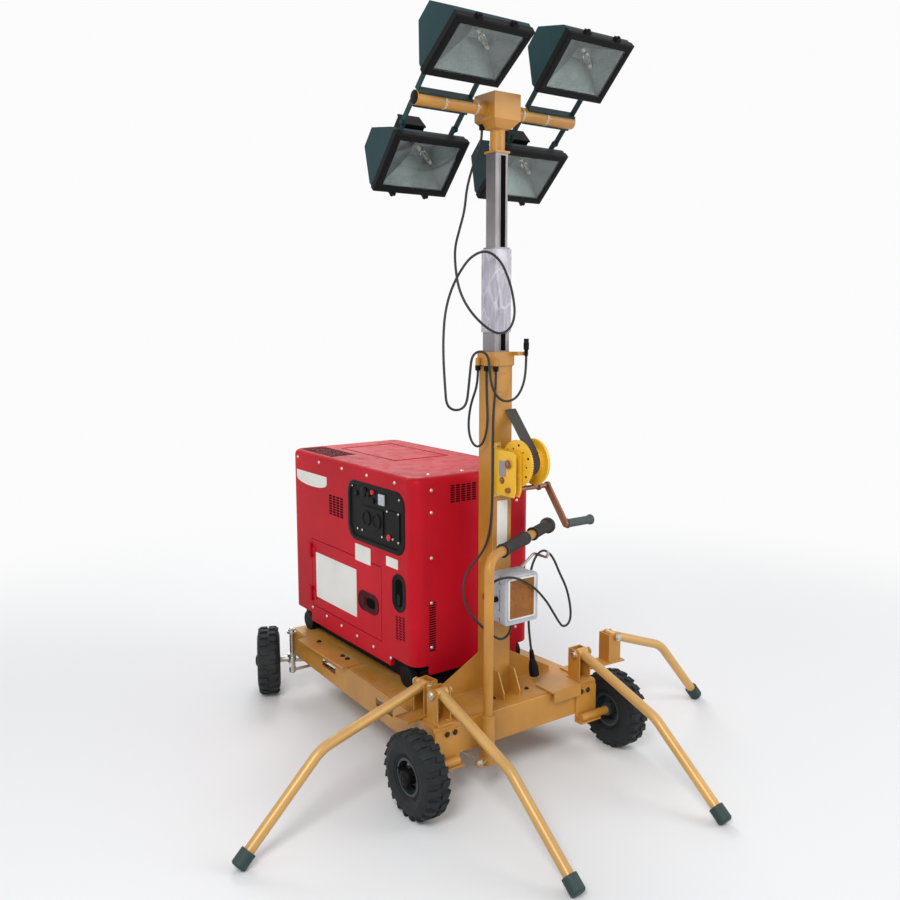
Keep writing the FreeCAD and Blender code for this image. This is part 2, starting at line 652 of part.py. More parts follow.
def make_links():
    """The drag link from the handle to the left knuckle, and the tie rod across the rear."""
    drag_tip, left_tip, right_tip = steering_tips()
    tip = lever_tip()
    bore = rod(V(tip.x, tip.y, 0), Z_AXIS, EYE_PIN_RADIUS + PIN_GAP, FRAME_TOP)
    drag = link(tip, drag_tip, ARM_TOP + FACE_GAP + ROD_RADIUS).cut(bore)
    tie_z = ARM_TOP - EYE_THICKNESS - FACE_GAP - ROD_RADIUS
    pins = [rod(V(p.x, p.y, tie_z - ROD_RADIUS - 5), Z_AXIS, EYE_PIN_RADIUS + 3, 5)
            for p in (left_tip, right_tip)]
    return drag, joined([link(left_tip, right_tip, tie_z)] + pins)


def handle_way(degrees):
    """The way the handle's bar points, as it stands."""
    angle = math.radians(degrees)
    return V(math.cos(angle), math.sin(angle), 0)


def lever_tip():
    """The eye of the handle's lever, long enough to swing the knuckle as far as it stands."""
    turn, rear = math.radians(HANDLE_TURN), math.radians(REAR_TURN)
    radius = KNUCKLE_ARM * math.sin(rear) / math.sin(turn)
    return V(HANDLE_X, HANDLE_Y, 0) - handle_way(HANDLE_TURN) * radius


def make_handle():
    """The upright tube, its bent bar, the collars at the sleeve and the steering lever."""
    foot = V(HANDLE_X, HANDLE_Y, HANDLE_FOOT)
    corner = V(HANDLE_X, HANDLE_Y, HANDLE_BAR_Z)
    end = corner + handle_way(HANDLE_TURN) * HANDLE_REACH
    tube = bent_tube([foot, corner, end], HANDLE_RADIUS, HANDLE_BEND)
    collar = rod(V(HANDLE_X, HANDLE_Y, FRAME_TOP + FACE_GAP), Z_AXIS, SLEEVE_RADIUS + 1, 9)
    hub_top = FRAME_BOTTOM - FACE_GAP
    hub = rod(foot, Z_AXIS, 28, hub_top - HANDLE_FOOT)
    tip = lever_tip()
    lever = flat_arm(V(HANDLE_X, HANDLE_Y, 0), tip)
    pin = rod(V(tip.x, tip.y, ARM_TOP - EYE_THICKNESS - 6), Z_AXIS, EYE_PIN_RADIUS,
              EYE_THICKNESS + 6 + FACE_GAP + 2 * ROD_RADIUS)
    return joined([tube, collar, hub, pin] + lever)


def make_grips():
    """Two soft grips on the bar, the outer one closing its end."""
    corner = V(HANDLE_X, HANDLE_Y, HANDLE_BAR_Z)
    way = handle_way(HANDLE_TURN)
    solids = []
    for start, end in GRIPS:
        bore = HANDLE_RADIUS + SEAT_GAP
        sleeve = ring(corner + way * start, way, GRIP_RADIUS, bore, end - start)
        flange = ring(corner + way * end, way, GRIP_RADIUS + 4, bore, 6)
        solids.append(joined([sleeve, flange]))
    return Part.makeCompound(solids)


def make_gussets():
    """Plates that brace the mast on the deck."""
    z = FRAME_TOP + DECK_THICKNESS
    half = OUTER["width"] / 2
    plates = []
    for _, side in SIDES:
        y = MAST_Y + 20
        plates.append(prism([(side * half, y, z), (side * 270, y, z), (side * 270, y, z + 12),
                             (side * half, y, 390)], V(0, 5, 0)))
        x = side * (half - 8)
        plates.append(prism([(x, MAST_Y - half, z), (x, MAST_Y - half - 62, z),
                             (x, MAST_Y - half - 62, z + 20), (x, MAST_Y - half - 30, z + 86),
                             (x, MAST_Y - half, z + 86)], V(side * 5, 0, 0)))
    return plates


def make_outer():
    """The mast's fixed tube, braced on the deck, with the welded collar round its mouth, three
    cord glands on the collar and a cradle for the lamps' connector."""
    width, wall = OUTER["width"], OUTER["wall"]
    tube = square_tube(width, wall, OUTER["bottom"], OUTER["top"])
    fit = MIDDLE["width"] / 2 + SEAT_GAP
    collar_half = width / 2 + 5
    collar = square_tube(2 * collar_half, collar_half - fit, OUTER["top"] - COLLAR_HEIGHT, OUTER["top"])
    glands = []
    for x, y, z in (CORDS["cord_main"][0], CORDS["cord_spare"][0], CORDS["cord_spare"][-1]):
        glands.append(rod(V(x, y, z), Z_AXIS, GLAND_RADIUS, OUTER["top"] - z - 20))
    x, y, low = CORDS["cord_lamps"][-1]
    face = MAST_Y - collar_half
    cradle = box((collar_half - 8, x + 2), (y + CONNECTOR_RADIUS / 2, face + 4), (low + 2, OUTER["top"]))
    cradle = cradle.cut(rod(V(x, y, low), Z_AXIS, CONNECTOR_RADIUS + FACE_GAP, COLLAR_HEIGHT))
    return joined([tube, collar, cradle] + glands + make_gussets())


def sliding_stage(stage, outside, inside):
    """A sliding tube with a guide ring round its foot, and a neck ring if it holds another."""
    tube = square_tube(stage["width"], stage["wall"], stage["bottom"], stage["top"])
    room = outside["width"] / 2 - outside["wall"] - SEAT_GAP
    pieces = [tube, square_tube(2 * room, room - stage["width"] / 2 + 1,
                                stage["bottom"], stage["bottom"] + GUIDE_HEIGHT)]
    if inside:
        fit = inside["width"] / 2 + SEAT_GAP
        pieces.append(square_tube(stage["width"], stage["width"] / 2 - fit,
                                  stage["top"] - 20, stage["top"]))
    return joined(pieces)


def make_wrap():
    """The thin film still wound round the middle stage."""
    half = MIDDLE["width"] + 2 * SEAT_GAP
    return square_tube(half + 2 * WRAP_THICKNESS, WRAP_THICKNESS, WRAP[0], WRAP[1])


def make_neck():
    """The round neck and the funnel-bottomed box that carries the crossarm."""
    half = HEAD_BOX / 2
    top_stage_top = TOP["top"]
    neck = rod(V(0, MAST_Y, top_stage_top), Z_AXIS, NECK_RADIUS, HEAD_BOX_BOTTOM - top_stage_top + 5)
    cap = box((-29, 29), (MAST_Y - 29, MAST_Y + 29), (top_stage_top, top_stage_top + 6))
    low = Part.makePolygon([V(sx * 30, MAST_Y + sy * 30, HEAD_BOX_BOTTOM)
                            for sx, sy in ((-1, -1), (1, -1), (1, 1), (-1, 1), (-1, -1))])
    high = Part.makePolygon([V(sx * half, MAST_Y + sy * half, HEAD_BOX_BOTTOM + 24)
                             for sx, sy in ((-1, -1), (1, -1), (1, 1), (-1, 1), (-1, -1))])
    funnel = Part.makeLoft([low, high], True)
    body = box((-half, half), (MAST_Y - half, MAST_Y + half), (HEAD_BOX_BOTTOM + 24, HEAD_BOX_BOTTOM + HEAD_BOX))
    hole = rod(V(-half - 1, MAST_Y, ARM_Z), X_AXIS, ARM_RADIUS + PIN_GAP, HEAD_BOX + 2)
    x, y, z = CORDS["cord_lamps"][0]
    gland = rod(V(x, y, z), Z_AXIS, GLAND_RADIUS, HEAD_BOX_BOTTOM + 30 - z)
    return joined([neck, cap, funnel, body, gland]).cut(hole)


def tilted(shape):
    """A shape modelled with the lamps facing forward, leaned down by the head's tilt."""
    return turned(shape, V(0, MAST_Y, ARM_Z), X_AXIS, HEAD_TILT)





def lamp_pivot(side, up):
    """A lamp's pivot, before the head is tilted."""
    return V(side * LAMP_X, MAST_Y - YOKE_PIVOT_BACK, ARM_Z + up * YOKE_PIVOT_OUT)


def make_crossarm():
    """The tube through the head box."""
    return rod(V(-ARM_HALF, MAST_Y, ARM_Z), X_AXIS, ARM_RADIUS, 2 * ARM_HALF)


def make_yokes():
    """A bent strap yoke for each lamp, welded on the crossarm."""
    yokes = []
    for side, up, _ in LAMPS.values():
        pivot = lamp_pivot(side, up)
        near = ARM_Z + up * (ARM_RADIUS - 2)
        width = (pivot.y - YOKE_WIDTH / 2, pivot.y + YOKE_WIDTH / 2)
        half = YOKE_HALF + YOKE_WALL
        pieces = [box((pivot.x - half, pivot.x + half), (MAST_Y - YOKE_WIDTH / 2, width[1]),
                      sorted((near, near + up * (YOKE_WALL + 2))))]
        for s in (-1, 1):
            x = sorted((pivot.x + s * YOKE_HALF, pivot.x + s * half))
            pieces.append(box(x, width, sorted((near, pivot.z))))
            pieces.append(rod(V(x[0], pivot.y, pivot.z), X_AXIS, YOKE_WIDTH / 2, YOKE_WALL))
        bore = rod(pivot - X_AXIS * (half + 1), X_AXIS, YOKE_PIN_RADIUS + PIN_GAP, 2 * half + 2)
        yokes.append(tilted(joined(pieces).cut([make_crossarm(), bore])))
    return Part.makeCompound(yokes)


def lamp_local(up):
    """A lamp's housing and glass, facing -Y, about the middle of its face."""
    half_w, half_h = LAMP_WIDTH / 2, LAMP_HEIGHT / 2
    back = LAMP_DEPTH

    def shell(grow, start):
        rim = [(-start, half_h + grow), (30, half_h + grow), (back + grow, 34 + grow),
               (back + grow, -34 - grow), (30, -half_h - grow), (-start, -half_h - grow)]
        return prism([(-half_w - grow, y, z) for y, z in rim], V(2 * (half_w + grow), 0, 0))

    body = shell(0, 0)
    hollow = shell(-LAMP_WALL, 1)
    body = body.cut(hollow)
    frame = box((-half_w, half_w), (-8, 0), (-half_h, half_h))
    window = box((-GLASS[0] / 2 + 4, GLASS[0] / 2 - 4), (-9, 1), (-GLASS[1] / 2 + 4, GLASS[1] / 2 - 4))
    seat = box((-GLASS[0] / 2 - SEAT_GAP, GLASS[0] / 2 + SEAT_GAP), (-9, -8 + GLASS[2]),
               (-GLASS[1] / 2 - SEAT_GAP, GLASS[1] / 2 + SEAT_GAP))
    pivot = V(0, LAMP_FACE - YOKE_PIVOT_BACK, -up * (LAMP_OUT - YOKE_PIVOT_OUT))
    mounts = [box(TERMINAL_X, TERMINAL_BACK, sorted(-up * z for z in TERMINAL_OUT))]
    for s in (-1, 1):
        x = sorted((s * (YOKE_HALF - FACE_GAP), s * (YOKE_HALF - FACE_GAP - EAR_WALL)))
        mounts.append(rod(V(x[0], pivot.y, pivot.z), X_AXIS, EAR_RADIUS, EAR_WALL))
        mounts.append(box(x, (pivot.y - EAR_RADIUS, pivot.y + EAR_RADIUS), sorted((pivot.z, pivot.z + up * 40))))
        mounts.append(rod(V(s * (YOKE_HALF - EAR_WALL), pivot.y, pivot.z), X_AXIS * s, YOKE_PIN_RADIUS,
                          EAR_WALL + YOKE_WALL + 5))
        mounts.append(rod(V(s * (YOKE_HALF + YOKE_WALL + FACE_GAP), pivot.y, pivot.z), X_AXIS * s,
                          YOKE_PIN_RADIUS + 3, 5))
    housing = joined([body, frame.cut(window).cut(seat), joined(mounts).cut(shell(-1, 1))])
    glass = box((-GLASS[0] / 2, GLASS[0] / 2), (-8, -8 + GLASS[2] - 0.5), (-GLASS[1] / 2, GLASS[1] / 2))
    return housing, glass


def make_lamps():
    """The four floodlights, each a housing and its glass."""
    nodes = {}
    for name, (side, up, lean) in LAMPS.items():
        housing, glass = lamp_local(up)
        centre = V(side * LAMP_X, MAST_Y - LAMP_FACE, ARM_Z + up * LAMP_OUT)
        for label, shape in (("lamp_", housing), ("lamp_glass_", glass)):
            shape.translate(centre)
            nodes[label + name] = tilted(turned(shape, lamp_pivot(side, up), X_AXIS, lean))
    return nodes


def make_winch_frame():
    """Base plate on the mast, two side plates and the fixed drum axle."""
    face = MAST_Y - OUTER["width"] / 2
    low, high = WINCH_Z - CRANK_DROP - 22, WINCH_Z + 40
    base = box((WINCH_PLATE_X[0], WINCH_PLATE_X[1] + WINCH_PLATE), (face - 5, face), (low - 10, high + 20))
    plates = []
    for x in WINCH_PLATE_X:
        outline = [(x, face, low), (x, WINCH_Y - 22, low), (x, WINCH_Y - 30, low + 20),
                   (x, WINCH_Y - 30, high - 10), (x, WINCH_Y - 16, high), (x, face, high)]
        plates.append(prism(outline, V(WINCH_PLATE, 0, 0)))
    axle = rod(V(WINCH_PLATE_X[0] - 6, WINCH_Y, WINCH_Z), X_AXIS, WINCH_SHAFT,
               DRUM_X[1] + 12 - WINCH_PLATE_X[0] + 6)
    nut = rod(V(DRUM_X[1] + FACE_GAP, WINCH_Y, WINCH_Z), X_AXIS, 13, 8)
    hole = rod(V(WINCH_PLATE_X[0] - 20, WINCH_Y, WINCH_Z - CRANK_DROP), X_AXIS, WINCH_SHAFT + PIN_GAP, 100)
    return joined([base] + plates).cut(hole).fuse([axle, nut]).removeSplitter()


def make_drum():
    """Gear, barrel with the wound strap, and the outer flange."""
    x0, x1 = DRUM_X
    bore = WINCH_SHAFT + PIN_GAP
    points = [(x0, bore), (x0, GEAR_RADIUS), (x0 + 8, GEAR_RADIUS), (x0 + 8, DRUM_RADIUS),
              (x1 - 4, DRUM_RADIUS), (x1 - 4, FLANGE_RADIUS), (x1, FLANGE_RADIUS), (x1, bore)]
    drum = solid_ring(points)
    drum.translate(V(0, WINCH_Y, WINCH_Z))
    return drum


def make_strap():
    """The flat strap from the front of the wound drum up into the mast."""
    slope = math.radians(STRAP_SLOPE)
    up = V(0, math.cos(slope), math.sin(slope))
    out = V(0, -up.z, up.y)
    face = MAST_Y - OUTER["width"] / 2
    line = []
    for radius in (DRUM_RADIUS + FACE_GAP, DRUM_RADIUS + FACE_GAP + STRAP_THICKNESS):
        low = V(STRAP_X[0], WINCH_Y, WINCH_Z) + out * radius
        line.append((low, low + up * ((face - low.y) / up.y)))
    (inner_low, inner_high), (outer_low, outer_high) = line
    return prism([tuple(p) for p in (inner_low, inner_high, outer_high, outer_low)],
                 V(STRAP_X[1] - STRAP_X[0], 0, 0))


def make_crank():
    """The pinion shaft, the flat crank arm and its grip."""
    z = WINCH_Z - CRANK_DROP
    start = V(WINCH_PLATE_X[0] - 12, WINCH_Y, z)
    shaft = rod(start, X_AXIS, WINCH_SHAFT, CRANK_X + 8 - start.x)
    pinion = rod(V(DRUM_X[0], WINCH_Y, z), X_AXIS, PINION_RADIUS, 8)
    angle = math.radians(CRANK_ANGLE)
    way = V(0, -math.cos(angle), -math.sin(angle))
    off = V(0, math.sin(angle), -math.cos(angle)) * 12
    a, b = V(CRANK_X, WINCH_Y, z), V(CRANK_X, WINCH_Y, z) + way * CRANK_LENGTH
    arm = prism([tuple(p) for p in (a + off, b + off, b - off, a - off)], V(8, 0, 0))
    ends = [rod(p, X_AXIS, 12, 8) for p in (a, b)]
    grip = rod(b, X_AXIS, 12, 8 + CRANK_GRIP)
    return joined([shaft, pinion, arm, grip] + ends)


def make_control_box():
    """The switch box on the mast, with a recess for its window."""
    face = MAST_Y - OUTER["width"] / 2
    body = box(BOX_X, (face - BOX_DEPTH, face), BOX_Z)
    edges = [e for e in body.Edges if e.BoundBox.YLength > BOX_DEPTH - 1]
    body = body.makeFillet(8, edges)
    recess = box(WINDOW_X, (face - BOX_DEPTH - 1, face - BOX_DEPTH + 6), WINDOW_Z)
    glands = []
    for name, end, way in (("cord_supply", 0, X_AXIS), ("cord_main", -1, Z_AXIS)):
        glands.append(rod(V(*CORDS[name][end]), way, GLAND_RADIUS, GLAND_LENGTH + 4))
    hook = bent_tube([V(*p) for p in HOOK_POINTS], HOOK_RADIUS, HOOK_BEND, CORD_SIDES)
    return joined([body.cut(recess), hook] + glands)


def make_cords():
    """The four cords, and what is on the free ends of two of them."""
    nodes = {name: bent_tube([V(*p) for p in points], CORD_RADIUS, sides=CORD_SIDES)
             for name, points in CORDS.items()}
    start = V(*CORDS["cord_lamps"][-1])
    nodes["connector_lamps"] = rod(start, Z_AXIS, CONNECTOR_RADIUS, CONNECTOR_TOP - start.z)
    start, end = V(*CORDS["cord_supply"][-1]), V(*PLUG_END)
    way, length = (end - start).normalize(), (end - start).Length
    flare = Part.makeCone(CORD_RADIUS + 2, PLUG_RADIUS, length * 0.7, start, way)
    nodes["plug_supply"] = joined([flare, rod(start + way * (length * 0.7), way, PLUG_RADIUS, length * 0.3)])
    return nodes


def make_box_window():
    """The clear cover over the switches."""
    face = MAST_Y - OUTER["width"] / 2 - BOX_DEPTH
    inset = SEAT_GAP
    return box((WINDOW_X[0] + inset, WINDOW_X[1] - inset), (face - 4, face + 6),
               (WINDOW_Z[0] + inset, WINDOW_Z[1] - inset))


def make_canopy():
    """The generator's hollow housing, open below, with its door bay and caster cut-outs."""
    outside = box((-GEN_HALF, GEN_HALF), (GEN_FRONT_Y, GEN_REAR_Y), (GEN_BOTTOM, GEN_TOP))
    upright = [e for e in outside.Edges if e.BoundBox.ZLength > 100]
    outside = outside.makeFillet(GEN_CORNER, upright)
    top = [e for e in outside.Edges if e.BoundBox.ZMin > GEN_TOP - 1]
    outside = outside.makeFillet(GEN_CORNER / 2, top)
    inner = box((-GEN_HALF + GEN_WALL, GEN_HALF - GEN_WALL),
                (GEN_FRONT_Y + GEN_WALL, GEN_REAR_Y - GEN_WALL), (GEN_BOTTOM - 1, GEN_TOP - GEN_WALL))
    upright = [e for e in inner.Edges if e.BoundBox.ZLength > 100]
    inner = inner.makeFillet(GEN_CORNER - GEN_WALL, upright)
    shell = outside.cut(inner)
    door = box((-GEN_HALF - 1, -GEN_HALF + GEN_WALL + 1), DOOR_Y, DOOR_Z)
    panel = box((-GEN_HALF - 1, -GEN_HALF + GEN_WALL + 1), PANEL_Y, PANEL_Z)
    shell = shell.cut(door).cut(panel)
    for _, side in SIDES:
        x = sorted((side * (GEN_HALF + 1), side * (GEN_HALF - GEN_CORNER - 20)))
        for y in (GEN_FRONT_Y, GEN_REAR_Y - CUTOUT_LENGTH):
            shell = shell.cut(box(x, (y - 1, y + CUTOUT_LENGTH + 1), (GEN_BOTTOM - 1, GEN_BOTTOM + CUTOUT_HEIGHT)))
    return joined([shell] + canopy_hinges())


def make_panel():
    """The recessed socket and switch panel."""
    gap = SEAT_GAP
    return box((-GEN_HALF + 4, -GEN_HALF + GEN_WALL), (PANEL_Y[0] + gap, PANEL_Y[1] - gap),
               (PANEL_Z[0] + gap, PANEL_Z[1] - gap))


def hinge_axis(z):
    """A point on the door's hinge axis, just outside the wall at the rear jamb."""
    return V(HINGE_X, DOOR_Y[1], z)


def make_door():
    """The service door, as thick as the wall that it closes, with its hinge barrels."""
    gap = DOOR_GAP
    pieces = [box((-GEN_HALF, -GEN_HALF + GEN_WALL), (DOOR_Y[0] + gap, DOOR_Y[1] - gap),
                  (DOOR_Z[0] + gap, DOOR_Z[1] - gap))]
    for z in HINGE_HEIGHTS:
        foot = hinge_axis(z - HINGE_HALF)
        pieces.append(rod(foot, Z_AXIS, HINGE_RADIUS, 2 * HINGE_HALF))
        pieces.append(box((-GEN_HALF - 3, -GEN_HALF), (DOOR_Y[1] - 34, DOOR_Y[1] - gap),
                          (z - HINGE_HALF, z + HINGE_HALF)))
    door = joined(pieces)
    bores = [rod(hinge_axis(z - HINGE_HALF - 1), Z_AXIS, HINGE_PIN_RADIUS + PIN_GAP, 2 * HINGE_HALF + 2)
             for z in HINGE_HEIGHTS]
    return door.cut(bores)


def canopy_hinges():
    """The fixed halves of the door's hinges, with their pins."""
    pieces = []
    for z in HINGE_HEIGHTS:
        pieces.append(rod(hinge_axis(z - HINGE_HALF - 12), Z_AXIS, HINGE_PIN_RADIUS, 2 * HINGE_HALF + 24))
        for low in (z - HINGE_HALF - 12, z + HINGE_HALF + FACE_GAP):
            pieces.append(rod(hinge_axis(low), Z_AXIS, HINGE_RADIUS, 12 - FACE_GAP))
            pieces.append(box((-GEN_HALF - 3, -GEN_HALF), (DOOR_Y[1] + 1, DOOR_Y[1] + 34),
                              (low, low + 12 - FACE_GAP)))
    return pieces


def make_gen_base():
    """The tray under the generator with its four casters."""
    deck = FRAME_TOP + DECK_THICKNESS
    inset = GEN_WALL + SEAT_GAP
    tray = box((-GEN_HALF + inset + 30, GEN_HALF - inset - 30), (GEN_FRONT_Y + inset, GEN_REAR_Y - inset),
               (deck + 6, GEN_BOTTOM + 10))
    pieces = [tray]
    for _, side in SIDES:
        for y in (GEN_FRONT_Y + CUTOUT_LENGTH / 2, GEN_REAR_Y - CUTOUT_LENGTH / 2 - 20):
            x = sorted((side * (GEN_HALF - 12), side * (GEN_HALF - 12 - CASTER_WIDTH)))
            caster = rod(V(x[0], y, deck + CASTER_RADIUS), X_AXIS, CASTER_RADIUS, CASTER_WIDTH)
            stub = rod(V(0, y, deck + CASTER_RADIUS), V(side, 0, 0), 8, GEN_HALF - 12)
            pieces += [caster, stub]
    return joined(pieces)


def make_engine():
    """The engine and alternator as one plain block at their real size."""
    return box((-170, 170), (GEN_FRONT_Y + 90, GEN_REAR_Y - 140), (GEN_BOTTOM + 10, 800))


def build():
    """Every sub-part by its node name."""
    nodes = {"deck": make_deck(), "leg_brackets": make_leg_brackets(),
             "front_axles": make_front_axles(), "kingpins": Part.makeCompound(make_kingpins()),
             "mast_outer": make_outer(), "mast_middle": sliding_stage(MIDDLE, OUTER, TOP),
             "mast_wrap": make_wrap(), "mast_top": sliding_stage(TOP, MIDDLE, None),
             "head_neck": make_neck(), "crossarm": make_crossarm(), "yokes": make_yokes(),
             "winch_frame": make_winch_frame(), "winch_drum": make_drum(),
             "winch_strap": make_strap(), "winch_crank": make_crank(),
             "control_box": make_control_box(), "control_box_window": make_box_window(),
             "gen_canopy": make_canopy(), "gen_panel": make_panel(), "gen_door": make_door(),
             "gen_base": Part.makeCompound([make_gen_base(), make_engine()]),
             "handle_grips": make_grips()}
    nodes.update(make_frame())
    nodes.update(make_cords())
    nodes.update(make_wheels())
    nodes.update(make_lamps())
    for leg in LEGS:
        nodes["leg_" + leg] = make_leg(leg)
        nodes["foot_" + leg] = make_foot(leg)
    for name, side in SIDES:
        nodes["knuckle_" + name] = knuckle(side)
    nodes["handle"] = make_handle()
    nodes["drag_link"], nodes["tie_rod"] = make_links()
    return nodes


def main():
    """Write each sub-part to its own file."""
    os.makedirs("parts", exist_ok=True)
    for name, shape in build().items():
        shape.exportStep("parts/%s.step" % name)


main()
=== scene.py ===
"""The looks of the mobile light tower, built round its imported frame.

Everything is in metres. +Z is up, +X is to the right and +Y is to the rear.
"""
import json
import math

import bmesh
import bpy
from mathutils import Matrix, Vector


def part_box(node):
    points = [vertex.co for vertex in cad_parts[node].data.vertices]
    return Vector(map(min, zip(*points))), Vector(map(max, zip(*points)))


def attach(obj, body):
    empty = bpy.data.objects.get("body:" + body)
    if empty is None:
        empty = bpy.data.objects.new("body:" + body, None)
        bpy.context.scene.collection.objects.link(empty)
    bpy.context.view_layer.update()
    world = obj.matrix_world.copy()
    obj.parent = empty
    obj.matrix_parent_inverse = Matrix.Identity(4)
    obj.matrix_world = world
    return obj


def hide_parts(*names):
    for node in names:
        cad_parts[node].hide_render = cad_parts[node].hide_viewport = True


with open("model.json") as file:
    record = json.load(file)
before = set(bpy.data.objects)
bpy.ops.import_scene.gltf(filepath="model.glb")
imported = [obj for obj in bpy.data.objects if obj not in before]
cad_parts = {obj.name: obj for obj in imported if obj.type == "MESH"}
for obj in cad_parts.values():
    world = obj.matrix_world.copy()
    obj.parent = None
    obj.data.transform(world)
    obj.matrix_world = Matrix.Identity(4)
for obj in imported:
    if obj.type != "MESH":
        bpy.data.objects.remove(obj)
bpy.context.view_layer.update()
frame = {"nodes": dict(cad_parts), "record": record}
nodes = frame["nodes"]
LEFTWARD, RIGHTWARD = (-1, 0, 0), (1, 0, 0)
FORWARD, REARWARD = (0, -1, 0), (0, 1, 0)
DOWNWARD, UPWARD = (0, 0, -1), (0, 0, 1)


# Shader values

class Value:
    """One output of a shader node, which takes part in ordinary sums."""

    def __init__(self, finish, socket):
        self.finish, self.socket = finish, socket

    def _sum(self, kind, *terms):
        return self.finish.node("Math", {"operation": kind}, dict(enumerate(terms)))

    def __add__(self, other):
        return self._sum("ADD", self, other)

    def __sub__(self, other):
        return self._sum("SUBTRACT", self, other)

    def __rsub__(self, other):
        return self._sum("SUBTRACT", other, self)

    def __mul__(self, other):
        return self._sum("MULTIPLY", self, other)

    def __pow__(self, other):
        return self._sum("POWER", self, other)

    def __mod__(self, other):
        return self._sum("FLOORED_MODULO", self, other)

    def __abs__(self):
        return self._sum("ABSOLUTE", self)

    __radd__ = __add__
    __rmul__ = __mul__

    def between(self, low, high):
        """0 below low and 1 above high, smooth in between."""
        return self.finish.node("MapRange", {"interpolation_type": "SMOOTHSTEP"},
                                {"Value": self, "From Min": low, "From Max": high})


class Finish:
    """A material, or the world, under construction, with its nodes made by one method."""

    def __init__(self, name, owner=None):
        self.owner = owner or bpy.data.materials.new(name)
        self.owner.use_nodes = True
        self.tree = self.owner.node_tree
        self.tree.nodes.clear()
        self.place = self.node("TexCoord", out="Object")

    def node(self, kind, settings=None, inputs=None, out=0):
        """One node with its settings and inputs, as the value of one of its outputs, if it has any."""
        made = self.tree.nodes.new("ShaderNode" + kind)
        for name, value in (settings or {}).items():
            setattr(made, name, value)
        for name, value in (inputs or {}).items():
            socket = made.inputs[name]
            if isinstance(value, Value):
                self.tree.links.new(value.socket, socket)
            else:
                socket.default_value = value
        return Value(self, made.outputs[out]) if len(made.outputs) else None

    def noise(self, scale, detail=3.0, rough=0.55, stretch=(1, 1, 1), offset=0.0):
        """Noise from 0 to 1, scale in lumps to the metre."""
        place = self.node("Mapping", {}, {"Vector": self.place, "Scale": stretch,
                                          "Location": (offset, offset * 0.7, offset * 1.3)})
        return self.node("TexNoise", {}, {"Vector": place, "Scale": scale, "Detail": detail,
                                          "Roughness": rough})

    def cells(self, scale, feature="F1", stretch=(1, 1, 1)):
        """Distance in a pattern of cells, scale in cells to the metre."""
        place = self.node("Mapping", {}, {"Vector": self.place, "Scale": stretch})
        inputs = {"Vector": place, "Scale": scale}
        return self.node("TexVoronoi", {"feature": feature}, inputs, "Distance")

    def axes(self):
        """The three coordinates of the shaded point."""
        place = self.node("SeparateXYZ", {}, {"Vector": self.place})
        return [Value(self, out) for out in place.socket.node.outputs]

    def upness(self):
        """How far the surface faces up: 1 is a floor, 0 a wall."""
        geometry = self.node("NewGeometry", out="Normal")
        return self.node("SeparateXYZ", {}, {"Vector": geometry}, 2)

    def edges(self, radius=0.002, low=0.02, high=0.2):
        """1 on the sharp edges and 0 away from them."""
        soft = self.node("Bevel", {"samples": 4}, {"Radius": radius})
        hard = self.node("NewGeometry", out="Normal")
        likeness = self.node("VectorMath", {"operation": "DOT_PRODUCT"}, {0: soft, 1: hard}, "Value")
        return (1 - likeness).between(low, high)

    def mix(self, factor, first, second):
        """Colour first turning into colour second with factor."""
        return self.node("Mix", {"data_type": "RGBA"}, {0: factor, 6: first, 7: second}, 2)

    def bump(self, height, depth, strength=1.0, normal=None):
        """depth is the relief in metres."""
        inputs = {"Height": height, "Distance": depth, "Strength": strength}
        if normal is not None:
            inputs["Normal"] = normal
        return self.node("Bump", {}, inputs)

    def surface(self, **inputs):
        """The finished material, from inputs under their short names."""
        names = {"colour": "Base Color", "rough": "Roughness", "metal": "Metallic", "normal": "Normal",
                 "coat": "Coat Weight", "coat_rough": "Coat Roughness", "clear": "Transmission Weight",
                 "sheen": "Sheen Weight", "index": "IOR", "specular": "Specular IOR Level"}
        return self.finished(self.node("BsdfPrincipled", {}, {names[k]: v for k, v in inputs.items()}))

    def finished(self, shader, kind="Material"):
        """The material or the world, with shader as its surface."""
        self.node("Output" + kind, {}, {"Surface": shader})
        return self.owner


def tone(red, green, blue):
    """A colour as it looks on a screen, from 0 to 255, as linear light."""
    def light(v):
        v /= 255
        return v / 12.92 if v <= 0.04045 else ((v + 0.055) / 1.055) ** 2.4
    return (light(red), light(green), light(blue), 1)


# Finishes

def painted(name, colour, rough=0.38, worn=(0.35, 0.28, 0.2, 1), wear=0.35, peel=0.00004, metal=0.0,
            coat=0.15, shade=0.12, specular=0.5):
    """Sprayed steel: slight orange peel, uneven gloss, dust on top and rubbed edges."""
    finish = Finish(name)
    broad = finish.noise(3.0, 4, 0.6)
    fine = finish.noise(60.0, 3, 0.6, offset=3.1)
    dust = finish.upness().between(0.5, 1.0) * finish.noise(14.0, 4, 0.65, offset=1.7).between(0.35, 0.75)
    dark = tuple(c * (1 - 2.2 * shade) for c in colour[:3]) + (1,)
    light = tuple(min(1.0, c * (1 + shade)) for c in colour[:3]) + (1,)
    base = finish.mix(broad.between(0.25, 0.75), dark, light)
    base = finish.mix(fine.between(0.6, 0.9) * 0.12, base, dark)
    base = finish.mix(dust * 0.16, base, (0.42, 0.38, 0.33, 1))
    rubbed = finish.edges(0.0025) * finish.noise(35.0, 3, 0.7, offset=5.2).between(0.45, 0.72) * wear
    base = finish.mix(rubbed, base, worn)
    peel_height = finish.noise(420.0, 2, 0.5, offset=2.2)
    bumpy = finish.bump(peel_height, peel)
    bumpy = finish.bump(broad, 0.0012, 0.5, bumpy)
    return finish.surface(colour=base, rough=rough + fine * 0.12 + dust * 0.25 + rubbed * 0.1, metal=metal,
                          normal=bumpy, coat=coat, coat_rough=0.3, specular=specular)


